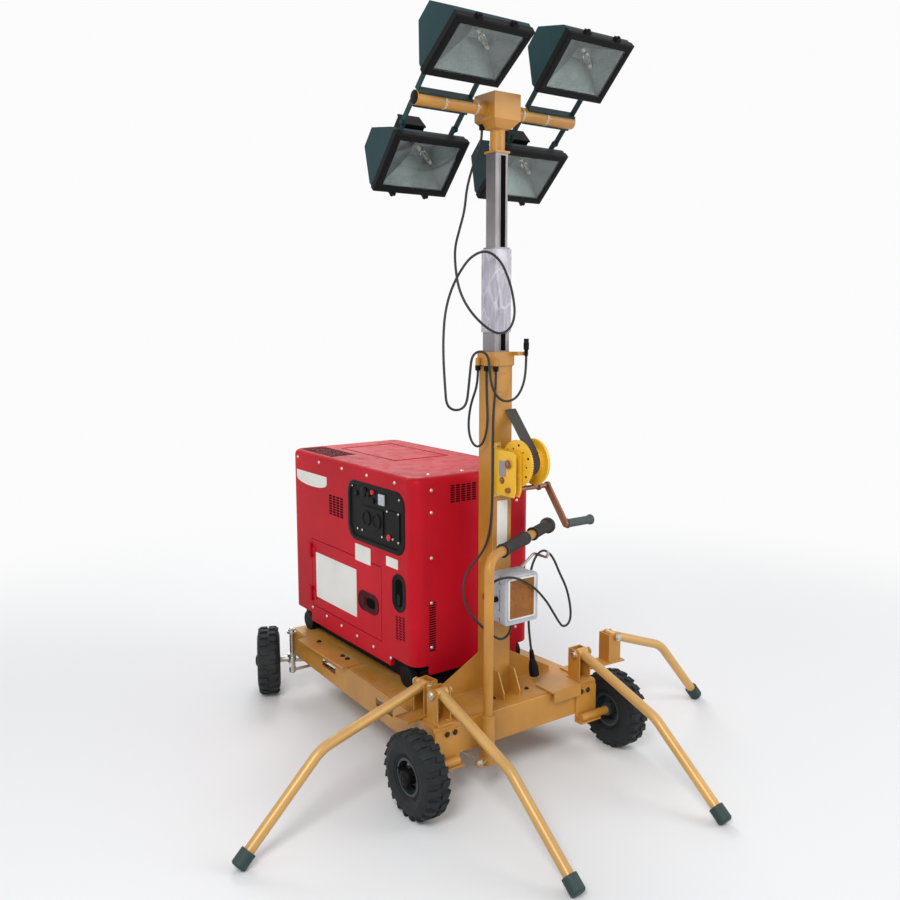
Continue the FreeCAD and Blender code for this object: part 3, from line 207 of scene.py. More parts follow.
def bare_metal(name, colour, rough=0.35, grain=(1, 1, 30), scale=40.0, metal=1.0):
    """Plain or plated metal with fine lines drawn along one axis."""
    finish = Finish(name)
    lines = finish.noise(scale, 4, 0.7, grain)
    cloud = finish.noise(9.0, 4, 0.6, offset=4.0)
    dark = tuple(c * 0.62 for c in colour[:3]) + (1,)
    base = finish.mix(cloud.between(0.3, 0.75) * 0.6, colour, dark)
    base = finish.mix(lines.between(0.5, 0.8) * 0.25, base, dark)
    return finish.surface(colour=base, rough=rough + lines * 0.16 + cloud * 0.1, metal=metal,
                          normal=finish.bump(lines, 0.00006))


def moulded(name, colour, rough=0.45, grain=0.00005, scale=900.0, coat=0.0, grime=0.15, specular=0.5):
    """Moulded plastic or rubber: fine grain, dust and a little grime."""
    finish = Finish(name)
    grains = finish.cells(scale)
    cloud = finish.noise(18.0, 4, 0.65)
    dust = finish.upness().between(0.3, 1.0) * cloud.between(0.35, 0.8)
    dark = tuple(c * 0.72 for c in colour[:3]) + (1,)
    base = finish.mix(cloud.between(0.3, 0.8) * 0.7, colour, dark)
    base = finish.mix(dust * grime, base, (0.30, 0.28, 0.25, 1))
    return finish.surface(colour=base, rough=rough + cloud * 0.12 + dust * 0.2, coat=coat, coat_rough=0.25,
                          specular=specular, normal=finish.bump(grains, grain))


AMBER = tone(190, 132, 48)
GOLD = tone(206, 160, 92)
GREY_STEEL = tone(150, 146, 148)
FILM = tone(176, 170, 182)
TEAL = tone(22, 54, 58)
BLACK = tone(15, 15, 17)
RED = tone(196, 10, 34)
TYRE = tone(28, 33, 36)
RIM = tone(38, 50, 54)
FOOT = tone(30, 56, 56)
WINCH = tone(236, 184, 44)
COPPER = tone(158, 112, 88)
BOX = tone(186, 192, 198)
WINDOW = tone(206, 132, 34)
WHITE = tone(232, 230, 224)
ZINC = (0.62, 0.60, 0.56, 1)
WEBBING = tone(40, 36, 32)


def canopy_paint():
    """Half-gloss red enamel with faint orange peel, dusty on top."""
    finish = Finish("red_enamel")
    broad = finish.noise(2.2, 3, 0.55)
    dust = finish.upness().between(0.6, 1.0) * finish.noise(22.0, 5, 0.7, offset=1.1).between(0.4, 0.8)
    base = finish.mix(broad.between(0.3, 0.7), RED, tone(176, 10, 28))
    base = finish.mix(dust * 0.08, base, tone(206, 120, 124))
    rubbed = finish.edges(0.002) * finish.noise(40.0, 3, 0.7, offset=6.0).between(0.5, 0.75) * 0.4
    base = finish.mix(rubbed, base, tone(120, 20, 26))
    peel = finish.noise(260.0, 2, 0.5, offset=2.2)
    bumpy = finish.bump(peel, 0.00003)
    bumpy = finish.bump(broad, 0.002, 0.4, bumpy)
    return finish.surface(colour=base, rough=0.5 + dust * 0.25 + broad * 0.08, normal=bumpy,
                          coat=0.04, coat_rough=0.2, specular=0.14)


def tyre_rubber():
    """Dusty black rubber, scuffed along its edges."""
    finish = Finish("tyre_rubber")
    cloud = finish.noise(30.0, 5, 0.7)
    scuff = finish.edges(0.0025, 0.02, 0.25) * cloud.between(0.35, 0.7)
    base = finish.mix(cloud.between(0.3, 0.75), TYRE, tone(22, 26, 28))
    base = finish.mix(scuff * 0.5, base, tone(84, 80, 74))
    base = finish.mix(finish.noise(7.0, 3, 0.6, offset=2.0).between(0.5, 0.8) * 0.22, base, tone(90, 84, 76))
    return finish.surface(colour=base, rough=0.62 + cloud * 0.2, specular=0.35,
                          normal=finish.bump(finish.noise(500.0, 3, 0.7), 0.00012))


def film_wrap():
    """Thin stretch film wound over the steel: cloudy, creased and shiny."""
    finish = Finish("wound_film")
    creases = finish.noise(16.0, 4, 0.7, (1, 1, 0.35))
    folds = finish.cells(26.0, "DISTANCE_TO_EDGE", (1, 1, 0.4))
    line = 1 - folds.between(0.0, 0.09)
    base = finish.mix(creases.between(0.35, 0.7), FILM, tone(132, 126, 140))
    base = finish.mix(line * 0.45, base, tone(214, 210, 220))
    bumpy = finish.bump(creases, 0.004)
    bumpy = finish.bump(line, 0.0012, 0.9, bumpy)
    return finish.surface(colour=base, rough=0.22 + creases * 0.2, normal=bumpy, coat=0.6, coat_rough=0.1)


def glass_pane(name, colour=(0.93, 0.97, 0.96, 1), rough=0.03):
    """Clear glass with faint specks."""
    finish = Finish(name)
    specks = finish.noise(60.0, 4, 0.7)
    rough = rough + specks.between(0.5, 0.8) * 0.06
    return finish.surface(colour=colour, rough=rough, clear=1.0, index=1.45)


def window_plastic():
    """The clear amber cover of the breaker window."""
    finish = Finish("amber_window")
    cloud = finish.noise(20.0, 3, 0.6)
    base = finish.mix(cloud.between(0.3, 0.7), WINDOW, tone(190, 118, 28))
    return finish.surface(colour=base, rough=0.08 + cloud * 0.08, clear=0.62, index=1.45, specular=0.3)


def mirror_sheet():
    """Hammered aluminium of a lamp's reflector."""
    finish = Finish("hammered_aluminium")
    dents = finish.cells(300.0)
    cloud = finish.noise(14.0, 3, 0.6)
    speck = finish.noise(340.0, 2, 0.7, offset=3.0).between(0.45, 0.7)
    base = finish.mix(cloud.between(0.3, 0.7), tone(138, 148, 146), tone(118, 128, 127))
    base = finish.mix(speck * 0.4, base, tone(196, 202, 198))
    return finish.surface(colour=base, rough=0.42 + cloud * 0.15, metal=0.85,
                          normal=finish.bump(dents, 0.0005))


def plain_label():
    """A blank label: clean, slightly yellowed."""
    finish = Finish("plain_label")
    cloud = finish.noise(6.0, 2, 0.5)
    base = finish.mix(cloud.between(0.3, 0.8), tone(228, 226, 220), tone(214, 211, 202))
    return finish.surface(colour=base, rough=0.4, specular=0.3)


def webbing():
    """Close woven strap with lighter ribs across."""
    finish = Finish("webbing")
    _, _, up = finish.axes()
    ribs = abs(((up * 420) % 1.0) - 0.5) * 2
    base = finish.mix(ribs * 0.5, WEBBING, tone(70, 64, 56))
    return finish.surface(colour=base, rough=0.85, sheen=0.3, normal=finish.bump(ribs, 0.0004))


amber = painted("amber_paint", AMBER, rough=0.36)
gold = painted("gold_paint", GOLD, rough=0.34, metal=0.25, shade=0.07, wear=0.2)
mast_steel = bare_metal("mast_steel", GREY_STEEL, 0.38, (18, 18, 0.6), 22.0, 0.85)
film = film_wrap()
teal = painted("teal_enamel", TEAL, rough=0.45, worn=tone(80, 100, 100), wear=0.25, peel=0.00009, shade=0.1,
               coat=0.0, specular=0.2)
black_metal = painted("black_enamel", BLACK, rough=0.45, worn=tone(60, 60, 60), wear=0.2, coat=0.0,
                      specular=0.12)
black_plastic = moulded("black_plastic", BLACK, 0.45, grime=0.03, specular=0.12)
casting = painted("dark_casting", tone(74, 76, 78), rough=0.6, peel=0.0003)
red = canopy_paint()
rubber = tyre_rubber()
rim_paint = painted("rim_enamel", RIM, rough=0.38, worn=tone(96, 104, 104), wear=0.3)
foot_rubber = moulded("foot_rubber", FOOT, 0.55, 0.00012, 500.0)
grip_rubber = moulded("grip_rubber", tone(34, 26, 25), 0.6, 0.0002, 600.0)
winch_paint = painted("winch_paint", WINCH, rough=0.32, shade=0.08)
copper = bare_metal("passivated_steel", COPPER, 0.38, metal=0.8)
zinc = bare_metal("zinc_plate", ZINC, 0.32, (1, 1, 1), 120.0)
dark_bolt = bare_metal("blued_bolt", tone(66, 64, 62), 0.42, (1, 1, 1), 150.0)
box_plastic = moulded("box_plastic", BOX, 0.4, grime=0.08)
white_plastic = moulded("white_plastic", WHITE, 0.4, grime=0.08)
label_film = plain_label()
window = window_plastic()
pane = glass_pane("lamp_pane")
reflector = mirror_sheet()
cord_rubber = moulded("cord_rubber", tone(22, 22, 24), 0.5, 0.00004, 700.0)
strap_web = webbing()
# Near-black: dark sheets of painted shade in holes, slots, vents, grooves and the lid's seam, and the black
# of the breakers' levers.
painted_shade_and_black = moulded("painted_shade_and_black", tone(10, 8, 9), 0.8, grime=0.0, specular=0.05)
# The canopy's red in painted shade, for the latch's recess and its flap.
red_in_painted_shade = painted("red_enamel_in_painted_shade", tone(66, 8, 16), rough=0.5, shade=0.06, wear=0.0, coat=0.0,
                   specular=0.12)
red_plastic = moulded("red_plastic", tone(196, 26, 30), 0.4)
burner_glass = glass_pane("burner_glass", (0.96, 0.97, 0.95, 1), 0.05)
ceramic = moulded("ceramic", tone(214, 206, 188), 0.5)
grey_film = moulded("grey_label", tone(150, 144, 150), 0.35, 0.00001, grime=0.06)
grip_slate = moulded("slate_grip", tone(66, 76, 76), 0.55, 0.00012, 600.0)

SLOT_LOOKS = {
    "frame_paint": amber, "leg_paint": gold, "mast_metal": mast_steel, "film": film, "lamp_paint": teal,
    "lamp_glass": pane, "canopy_paint": red, "panel_black": black_plastic, "tray_black": black_metal,
    "engine_grey": casting, "tyre_rubber": rubber, "rim_black": rim_paint, "foot_rubber": foot_rubber,
    "grip_rubber": grip_rubber, "winch_paint": winch_paint, "crank_steel": copper,
    "box_plastic": box_plastic, "window_amber": window, "cord_rubber": cord_rubber,
    "strap_webbing": strap_web, "zinc_steel": zinc,
}
LOOK_SLOTS = {look.name: slot for slot, look in SLOT_LOOKS.items()}
# Looks that no slot is named for, with the slot that comes nearest.
NEAREST_SLOTS = {
    "painted_shade_and_black": "panel_black", "red_enamel_in_painted_shade": "canopy_paint", "red_plastic": "panel_black",
    "burner_glass": "lamp_glass", "ceramic": "box_plastic", "hammered_aluminium": "lamp_paint",
    "plain_label": "box_plastic", "grey_label": "box_plastic", "white_plastic": "box_plastic",
    "blued_bolt": "zinc_steel", "slate_grip": "grip_rubber",
}
LOOK_SLOTS.update(NEAREST_SLOTS)

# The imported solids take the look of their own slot.
for part in frame["record"]["subparts"]:
    carried = nodes[part["node"]]
    carried.data.materials.clear()
    carried.data.materials.append(SLOT_LOOKS[part["material_slot"]])


POINT = 1e-6           # a radius under this is a single point


def turns(count):
    """Angles, in equal steps once round."""
    return [2 * math.pi * i / count for i in range(count)]


class Piece:
    """A mesh under construction, in metres, which becomes one object that rides on a body."""

    def __init__(self, name, look):
        self.name, self.look, self.mesh = name, look, bmesh.new()

    def loop(self, points):
        """New corners at points, for faces to hang on."""
        return [self.mesh.verts.new(point) for point in points]

    def solid(self, corners, sides):
        """Corners and the flat sides between them, by number."""
        made = self.loop(corners)
        for side in sides:
            self.mesh.faces.new([made[i] for i in side])

    def block(self, low, high):
        """A box between its lowest and highest corners."""
        corners = [(x, y, z) for z in (low[2], high[2]) for x, y in
                   ((low[0], low[1]), (high[0], low[1]), (high[0], high[1]), (low[0], high[1]))]
        self.solid(corners, ((3, 2, 1, 0), (4, 5, 6, 7), (0, 1, 5, 4), (1, 2, 6, 5), (2, 3, 7, 6),
                             (3, 0, 4, 7)))

    def slab(self, outline, push):
        """A flat outline pushed along a vector."""
        count, push = len(outline), Vector(push)
        corners = [Vector(p) for p in outline] + [Vector(p) + push for p in outline]
        sides = [tuple(reversed(range(count))), tuple(range(count, 2 * count))]
        sides += [(i, (i + 1) % count, count + (i + 1) % count, count + i) for i in range(count)]
        self.solid(corners, sides)

    def wall_slab(self, x, y, z, pairs, thick):
        """Flat (rearward, up) pairs about a point of a wall that faces left, pushed to the right."""
        self.slab([(x, y + a, z + b) for a, b in pairs], (thick, 0, 0))

    def front_slab(self, x, y, z, pairs, thick):
        """Flat (rightward, up) pairs about a point of a wall that faces the front, pushed rearward."""
        self.slab([(x + a, y, z + b) for a, b in pairs], (0, thick, 0))

    def disc(self, centre, way, radius, height, sides):
        """A flat round plate that stands on centre."""
        self.lathe(centre, way, [(0, 0), (0, radius), (height, radius), (height, 0)], sides)

    def lathe(self, start, way, profile, sides=28):
        """A profile of (along, radius) points turned once round the line from start along way."""
        start, way = Vector(start), Vector(way).normalized()
        first = way.orthogonal().normalized()
        second = way.cross(first)
        rings = []
        for along, radius in profile:
            middle = start + way * along
            if radius < POINT:
                rings.append(self.loop([middle]))
                continue
            rings.append(self.loop(middle + (first * math.cos(t) + second * math.sin(t)) * radius
                                   for t in turns(sides)))
        for near, far in zip(rings, rings[1:]):
            for i in range(sides):
                j = (i + 1) % sides
                face = [near[i % len(near)], near[j % len(near)], far[j % len(far)], far[i % len(far)]]
                self.mesh.faces.new(list(dict.fromkeys(face)))

    def rod(self, start, end, radius, far_radius=None, sides=20):
        """A round bar between two points, closed at both ends."""
        length = (Vector(end) - Vector(start)).length
        far_radius = radius if far_radius is None else far_radius
        profile = [(0, 0), (0, radius), (length, far_radius), (length, 0)]
        self.lathe(start, Vector(end) - Vector(start), profile, sides)

    def hoop(self, centre, way, radius, thickness, sides=36, section=8):
        """A round ring of round section."""
        round_section = turns(section) + [2 * math.pi]
        profile = [(thickness * math.sin(t), radius + thickness * math.cos(t)) for t in round_section]
        self.lathe(centre, way, profile, sides)

    def bolt(self, centre, way, across, height):
        """A washer and a six-sided head with a domed top."""
        centre, way = Vector(centre), Vector(way).normalized()
        head = [(0, 0), (0, across * 0.5), (height * 0.85, across * 0.5), (height, across * 0.4),
                (height, 0)]
        self.disc(centre, way, across * 0.72, height * 0.25, 20)
        self.lathe(centre, way, head, 6)

    def dome(self, centre, way, radius, height):
        """A small round head."""
        steps = [(height * math.sin(t), radius * math.cos(t)) for t in (0, 0.35, 0.7, 1.05)]
        self.lathe(centre, way, [(-height * 0.2, radius)] + steps + [(height, 0)], 16)

    def bar(self, points, radius, sides=12):
        """A round bar through several points, mitred at each."""
        points = [Vector(p) for p in points]
        rings, side = [], None
        for i, point in enumerate(points):
            before = (point - points[i - 1]).normalized() if i else (points[1] - point).normalized()
            after = (points[i + 1] - point).normalized() if i + 1 < len(points) else before
            way = (before + after).normalized()
            side = side or way.orthogonal()
            side = (side - way * side.dot(way)).normalized()
            other = way.cross(side)
            rings.append([point + (side * math.cos(t) + other * math.sin(t)) * radius
                          for t in turns(sides)])
        made = self.skin(rings)
        self.mesh.faces.new(list(reversed(made[0])))
        self.mesh.faces.new(made[-1])

    def skin(self, loops):
        """Faces between loops that have as many points each, and the corners that they hang on."""
        made = [self.loop(points) for points in loops]
        for near, far in zip(made, made[1:]):
            for k in range(len(near)):
                j = (k + 1) % len(near)
                self.mesh.faces.new((near[k], near[j], far[j], far[k]))
        return made

    def done(self, body, bevel=0.0, sharp=35, stands_for=(), place=None):
        """The finished object on its body, moved by place, with softened edges where bevel is set."""
        if place:
            bmesh.ops.transform(self.mesh, matrix=place, verts=self.mesh.verts[:])
        bmesh.ops.recalc_face_normals(self.mesh, faces=self.mesh.faces[:])
        data = bpy.data.meshes.new(self.name)
        self.mesh.to_mesh(data)
        self.mesh.free()
        data.polygons.foreach_set("use_smooth", [True] * len(data.polygons))
        data.set_sharp_from_angle(angle=math.radians(sharp))
        data.materials.append(self.look)
        made = bpy.data.objects.new(self.name, data)
        bpy.context.collection.objects.link(made)
        if bevel:
            softened = made.modifiers.new("soft_edges", "BEVEL")
            softened.width = bevel
            softened.segments = 2
            softened.limit_method = "ANGLE"
            softened.angle_limit = math.radians(sharp)
        if stands_for:
            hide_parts(*stands_for)
        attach(made, body)
        return made


def rounded(width, height, corner, steps=5):
    """The corners of a flat rounded rectangle about the origin, as (across, up) pairs."""
    points = []
    for quarter, (sx, sy) in enumerate(((1, 1), (-1, 1), (-1, -1), (1, -1))):
        for k in range(steps + 1):
            turn = math.pi / 2 * (quarter + k / steps)
            points.append((sx * (width / 2 - corner) + corner * math.cos(turn),
                           sy * (height / 2 - corner) + corner * math.sin(turn)))
    return points


def ribs(first, pitch, count, steps):
    """Profile points whose (along, radius) steps come again at every pitch."""
    return [(first + k * pitch + along, radius) for k in range(count) for along, radius in steps]


def level(degrees):
    """The level direction at an angle from rightward to rearward."""
    angle = math.radians(degrees)
    return Vector((math.cos(angle), math.sin(angle), 0))


# Free cords

CORD_DIAMETER = 0.008
ROUTES = {
    "cord_lamps": [
        (-0.04, -0.15, 2.092), (-0.04, -0.15, 2.05), (-0.054, -0.126, 1.992), (-0.066, -0.106, 1.918),
        (-0.069, -0.1, 1.85), (-0.096, -0.108, 1.786), (-0.136, -0.138, 1.726), (-0.158, -0.172, 1.662),
        (-0.166, -0.202, 1.594), (-0.154, -0.234, 1.536), (-0.114, -0.256, 1.486),
        (-0.06, -0.264, 1.456), (-0.01, -0.262, 1.47), (0.016, -0.256, 1.516), (0.012, -0.25, 1.576),
        (-0.006, -0.246, 1.636), (-0.034, -0.238, 1.69), (-0.076, -0.222, 1.718),
        (-0.116, -0.196, 1.698), (-0.142, -0.17, 1.648), (-0.164, -0.152, 1.588), (-0.184, -0.152, 1.52),
        (-0.199, -0.165, 1.45), (-0.208, -0.178, 1.388), (-0.211, -0.187, 1.332),
        (-0.212, -0.194, 1.286), (-0.211, -0.198, 1.241), (-0.192, -0.204, 1.222),
        (-0.164, -0.211, 1.222), (-0.145, -0.216, 1.241), (-0.142, -0.221, 1.288),
        (-0.141, -0.228, 1.342), (-0.14, -0.234, 1.387), (-0.123, -0.238, 1.404),
        (-0.099, -0.242, 1.404), (-0.082, -0.245, 1.387), (-0.079, -0.248, 1.345), (-0.074, -0.25, 1.3),
        (-0.054, -0.251, 1.262), (-0.018, -0.25, 1.241), (0.028, -0.25, 1.25), (0.056, -0.25, 1.288),
        (0.068, -0.25, 1.338), (0.068, -0.25, 1.386)],
    "cord_spare": [
        (-0.0515, -0.15, 1.34), (-0.0515, -0.15, 1.294), (-0.06, -0.124, 1.23), (-0.067, -0.12, 1.172),
        (-0.07, -0.128, 1.13), (-0.07, -0.147, 1.1), (-0.068, -0.174, 1.091), (-0.065, -0.198, 1.108),
        (-0.06, -0.21, 1.146), (-0.055, -0.208, 1.2), (-0.0515, -0.196, 1.268), (-0.0515, -0.196, 1.34)],
    "cord_main": [
        (-0.04, -0.2295, 1.34), (-0.04, -0.2295, 1.292), (-0.046, -0.227, 1.22), (-0.047, -0.224, 1.13),
        (-0.046, -0.224, 1.04), (-0.047, -0.225, 0.95), (-0.047, -0.222, 0.87), (-0.05, -0.212, 0.8),
        (-0.06, -0.196, 0.748), (-0.088, -0.184, 0.712), (-0.122, -0.186, 0.684), (-0.147, -0.2, 0.645),
        (-0.154, -0.216, 0.598), (-0.142, -0.236, 0.556), (-0.11, -0.252, 0.516), (-0.074, -0.26, 0.482),
        (-0.041, -0.262, 0.459), (-0.013, -0.262, 0.462), (0.006, -0.262, 0.483), (0.006, -0.262, 0.508)],
    "cord_supply": [
        (-0.067, -0.262, 0.6), (-0.097, -0.262, 0.6), (-0.12, -0.272, 0.62), (-0.12, -0.291, 0.656),
        (-0.092, -0.312, 0.686), (-0.038, -0.328, 0.688), (0.034, -0.332, 0.65), (0.104, -0.322, 0.584),
        (0.15, -0.31, 0.528), (0.182, -0.302, 0.488), (0.205, -0.297, 0.464), (0.235, -0.291, 0.464),
        (0.252, -0.287, 0.486), (0.252, -0.282, 0.532), (0.238, -0.276, 0.594), (0.214, -0.266, 0.646),
        (0.192, -0.256, 0.704), (0.158, -0.25, 0.734), (0.122, -0.249, 0.718), (0.098, -0.25, 0.67),
        (0.088, -0.252, 0.604), (0.088, -0.254, 0.53), (0.092, -0.252, 0.46), (0.104, -0.252, 0.39)],
}
PLUG_START = (0.104, -0.252, 0.390)
PLUG_TIP = (0.120, -0.252, 0.297)


def free_cord(name, body):
    """One free cord along its route, in place of the plain tube of the same name."""
    points = ROUTES[name]
    curve = bpy.data.curves.new(name + "_line", "CURVE")
    curve.dimensions = "3D"
    line = curve.splines.new("NURBS")
    line.points.add(len(points) - 1)
    for control, (x, y, z) in zip(line.points, points):
        control.co = (x, y, z, 1)
    line.order_u = 3
    line.use_endpoint_u = True
    line.resolution_u = 10
    curve.bevel_depth = CORD_DIAMETER / 2
    curve.bevel_resolution = 4
    curve.use_fill_caps = True
    curve.materials.append(cord_rubber)
    made = bpy.data.objects.new(name + "_line", curve)
    bpy.context.collection.objects.link(made)
    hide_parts(name)
    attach(made, body)


def connector_cover():
    """The lamps' in-line connector: ribbed body, collar and a strain relief at its foot."""
    piece = Piece("connector_shell", black_plastic)
    low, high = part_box("connector_lamps")
    x, y = (low[0] + high[0]) / 2, (low[1] + high[1]) / 2
    radius, length = (high[0] - low[0]) / 2, high[2] - low[2]
    profile = [(0, 0), (0, radius * 0.6)]
    profile += ribs(0.003, 0.003, 5, ((0, radius * 0.62), (0, radius * 0.76), (0.0018, radius * 0.76),
                                      (0.0018, radius * 0.62)))
    profile += [(0.020, radius * 0.8), (0.023, radius), (length - 0.014, radius),
                (length - 0.012, radius * 0.9), (length - 0.002, radius * 0.9), (length, radius * 0.84),
                (length, 0)]
    piece.lathe((x, y, low[2]), UPWARD, profile, 24)
    return piece.done("mast_stage_3", stands_for=("connector_lamps",))


def plug_cover():
    """The moulded plug that hangs over the deck: ribbed neck, flare and rim."""
    piece = Piece("plug_shell", black_plastic)
    start, end = Vector(PLUG_START), Vector(PLUG_TIP)
    way = (end - start).normalized()
    length = (end - start).length
    profile = [(0, 0), (0, 0.0062)]
    for k in range(6):
        foot = 0.003 + k * 0.005
        profile += [(foot, 0.0058), (foot + 0.001, 0.0076 + k * 0.0004), (foot + 0.003, 0.0076 + k * 0.0004),
                    (foot + 0.004, 0.0058 + k * 0.0003)]
    profile += [(0.038, 0.0105), (0.055, 0.0150), (0.066, 0.0168), (0.070, 0.0170), (0.072, 0.0160),
                (0.074, 0.0170), (length - 0.001, 0.0170), (length, 0.0160), (length, 0)]
    piece.lathe(start, way, profile, 28)
    return piece.done("chassis", stands_for=("plug_supply",))


connector = connector_cover()
plug = plug_cover()
free_cord("cord_lamps", "mast_stage_3")
free_cord("cord_main", "chassis")
free_cord("cord_spare", "chassis")
free_cord("cord_supply", "chassis")


# Lamps

LAMP_TILT = 45.0       # degrees that the cross-arm is turned at rest
MAST_Y = -0.178
ARM_CENTRE = Vector((0, MAST_Y, 2.150))
# Each lamp's side, its place above or below the cross-arm, and its own lean in degrees.
LAMPS = {"upper_left": (-1, 1, 9.9), "upper_right": (1, 1, 0.0), "lower_left": (-1, -1, -3.0),
         "lower_right": (1, -1, 1.0)}
LAMP_X = 0.210         # of a lamp's middle from the mast
LAMP_OUT = 0.206       # of a lamp's middle from the cross-arm, up or down
LAMP_FACE = 0.030      # of a lamp's face in front of the cross-arm
PIVOT_OUT = 0.092      # of a lamp's pivot from the cross-arm, up or down
PIVOT_BACK = 0.010     # of a lamp's pivot behind the cross-arm
LAMP_SIZE = (0.268, 0.200)
PANE_SIZE = (0.232, 0.166)
FOCUS = (0.028, 0.012) # the middle of the reflector, from the pane's middle
CORNERS = ((-1, -1), (1, -1), (1, 1), (-1, 1))
BULB = [(0, 0), (0, 0.004), (0.010, 0.0085), (0.030, 0.0105), (0.050, 0.0085), (0.060, 0.004), (0.060, 0)]


def turned(point, degrees):
    """The matrix that turns about a point, round the line to the right."""
    turn = Matrix.Rotation(math.radians(degrees), 4, "X")
    return Matrix.Translation(point) @ turn @ Matrix.Translation(-point)


def lamp_place(side, up, lean):
    """The matrix from a lamp's own frame, facing the front about its face's middle, to its place."""
    centre = Matrix.Translation((side * LAMP_X, ARM_CENTRE.y - LAMP_FACE, ARM_CENTRE.z + up * LAMP_OUT))
    pivot = Vector((0, ARM_CENTRE.y + PIVOT_BACK, ARM_CENTRE.z + up * PIVOT_OUT))
    return turned(ARM_CENTRE, LAMP_TILT) @ turned(pivot, lean) @ centre


def lamp_details(name, side, up, lean):
    """A lamp's bezel, reflector, tube lamp, clips, fixing screws and terminal box cover."""
    place = lamp_place(side, up, lean)
    body = "floodlight_" + name
    half_w, half_h = (size / 2 for size in LAMP_SIZE)
    pane_w, pane_h = (size / 2 for size in PANE_SIZE)
    bezel = Piece("bezel_" + name, black_metal)
    rings = [(half_w + 0.003, half_h + 0.003, 0.012), (half_w + 0.003, half_h + 0.003, -0.007),
             (half_w - 0.001, half_h - 0.001, -0.0105), (pane_w + 0.001, pane_h + 0.001, -0.0105),
             (pane_w - 0.003, pane_h - 0.003, -0.0085)]
    bezel.skin([[(sx * w, y, sz * h) for sx, sz in CORNERS] for w, h, y in rings])
    bezel.done(body, 0.0012, place=place)
    clips = Piece("bezel_clips_" + name, black_metal)
    for x in (-0.062, 0.062):
        z = up * (half_h + 0.003)
        low, high = sorted((z, z + up * 0.010))
        clips.block((x - 0.009, -0.010, low), (x + 0.009, 0.010, high))
        clips.rod((x, -0.002, z), (x, -0.002, z + up * 0.015), 0.006, 0.005, 14)
    for x in (-half_w + 0.012, half_w - 0.012):
        for z in (-half_h + 0.010, half_h - 0.010):
            clips.dome((x, -0.0105, z), FORWARD, 0.0035, 0.0015)
    clips.done(body, 0.0008, place=place)
    dish = Piece("reflector_" + name, reflector)
    rim = [(sx * (pane_w - 0.003), 0.002, sz * (pane_h - 0.003)) for sx, sz in CORNERS]
    deep = [(FOCUS[0] + sx * 0.034, 0.070, FOCUS[1] + sz * 0.020) for sx, sz in CORNERS]
    dish.mesh.faces.new(dish.skin([rim, deep])[-1])
    dish.done(body, sharp=20, place=place)
    burner = Piece("burner_" + name, burner_glass)
    across = Vector((0.030, 0, -0.022)).normalized()
    middle = Vector((FOCUS[0], 0.046, FOCUS[1]))
    burner.lathe(middle - across * 0.030, across, BULB, 20)
    burner.done(body, place=place)
    ends = Piece("burner_ends_" + name, ceramic)
    for way in (-1, 1):
        foot = middle + across * (0.030 * way)
        ends.rod(foot, foot + across * (0.016 * way), 0.0065, 0.006, 16)
    ends.rod(middle - across * 0.020, middle + across * 0.020, 0.0024, sides=10)
    ends.done(body, 0.0006, place=place)
    box = Piece("terminal_cover_" + name, black_plastic)
    near, far = sorted((-up * 0.050, -up * 0.1005))
    box.block((-0.0775, 0.053, near), (-0.0025, 0.102, far))
    lid = sorted((-up * 0.098, -up * 0.104))
    box.block((-0.0800, 0.0505, lid[0]), (0, 0.1045, lid[1]))
    for x in (-0.074, -0.006):
        for y in (0.056, 0.099):
            box.dome((x, y, -up * 0.104), (0, 0, -up), 0.003, 0.0015)
    box.rod((-0.040, 0.102, -up * 0.078), (-0.040, 0.114, -up * 0.078), 0.009, 0.007, 16)
    box.done(body, 0.0015, place=place)


for lamp, facts in LAMPS.items():
    lamp_details(lamp, *facts)


# Generator

WALL_X = -0.251        # the canopy's left wall
HOLE_X = -0.2516       # dark sheets of painted shade in the openings on that wall
PULL_X = -0.2535       # small parts in its recesses
PANEL_X = -0.247       # the black panel behind it
PANEL_CENTRE = (0.1755, 0.8225)    # rearward and up
LIP = 0.0030           # how far a recess's rim stands out
SLOT_OUT = 0.0006      # how far the dark slots, painted shade in the openings, stand proud of a wall
SLOT_DEPTH = 0.002
PLATE_OUT = 0.0008     # how far the blank plates stand proud of it
PLATE_DEPTH = 0.0012
CANOPY_LOW, CANOPY_HIGH = (Vector(corner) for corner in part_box("gen_canopy"))
SOCKET = [(0, 0.027), (0.004, 0.027), (0.004, 0.023), (0.001, 0.022), (0.001, 0)]
GAUGE = [(0, 0.020), (0.005, 0.020), (0.006, 0.018), (0.006, 0)]
KNOB = [(0, 0.011), (0.004, 0.011), (0.005, 0.009), (0.005, 0)]
BUTTON = [(0, 0.009), (0.006, 0.009), (0.008, 0.007), (0.008, 0)]
TERMINAL = [(0, 0.011), (0.005, 0.012), (0.008, 0.009), (0.008, 0)]
SCREW_HEAD = (0.0065, 0.004)       # radius and height
EXHAUST_MOUTH = 0.019              # radius
EXHAUST_LIP = [(0, EXHAUST_MOUTH), (0, 0.030), (0.0016, 0.030), (0.0024, 0.026), (0.0060, 0.0225),
               (0.0060, EXHAUST_MOUTH), (0, EXHAUST_MOUTH)]


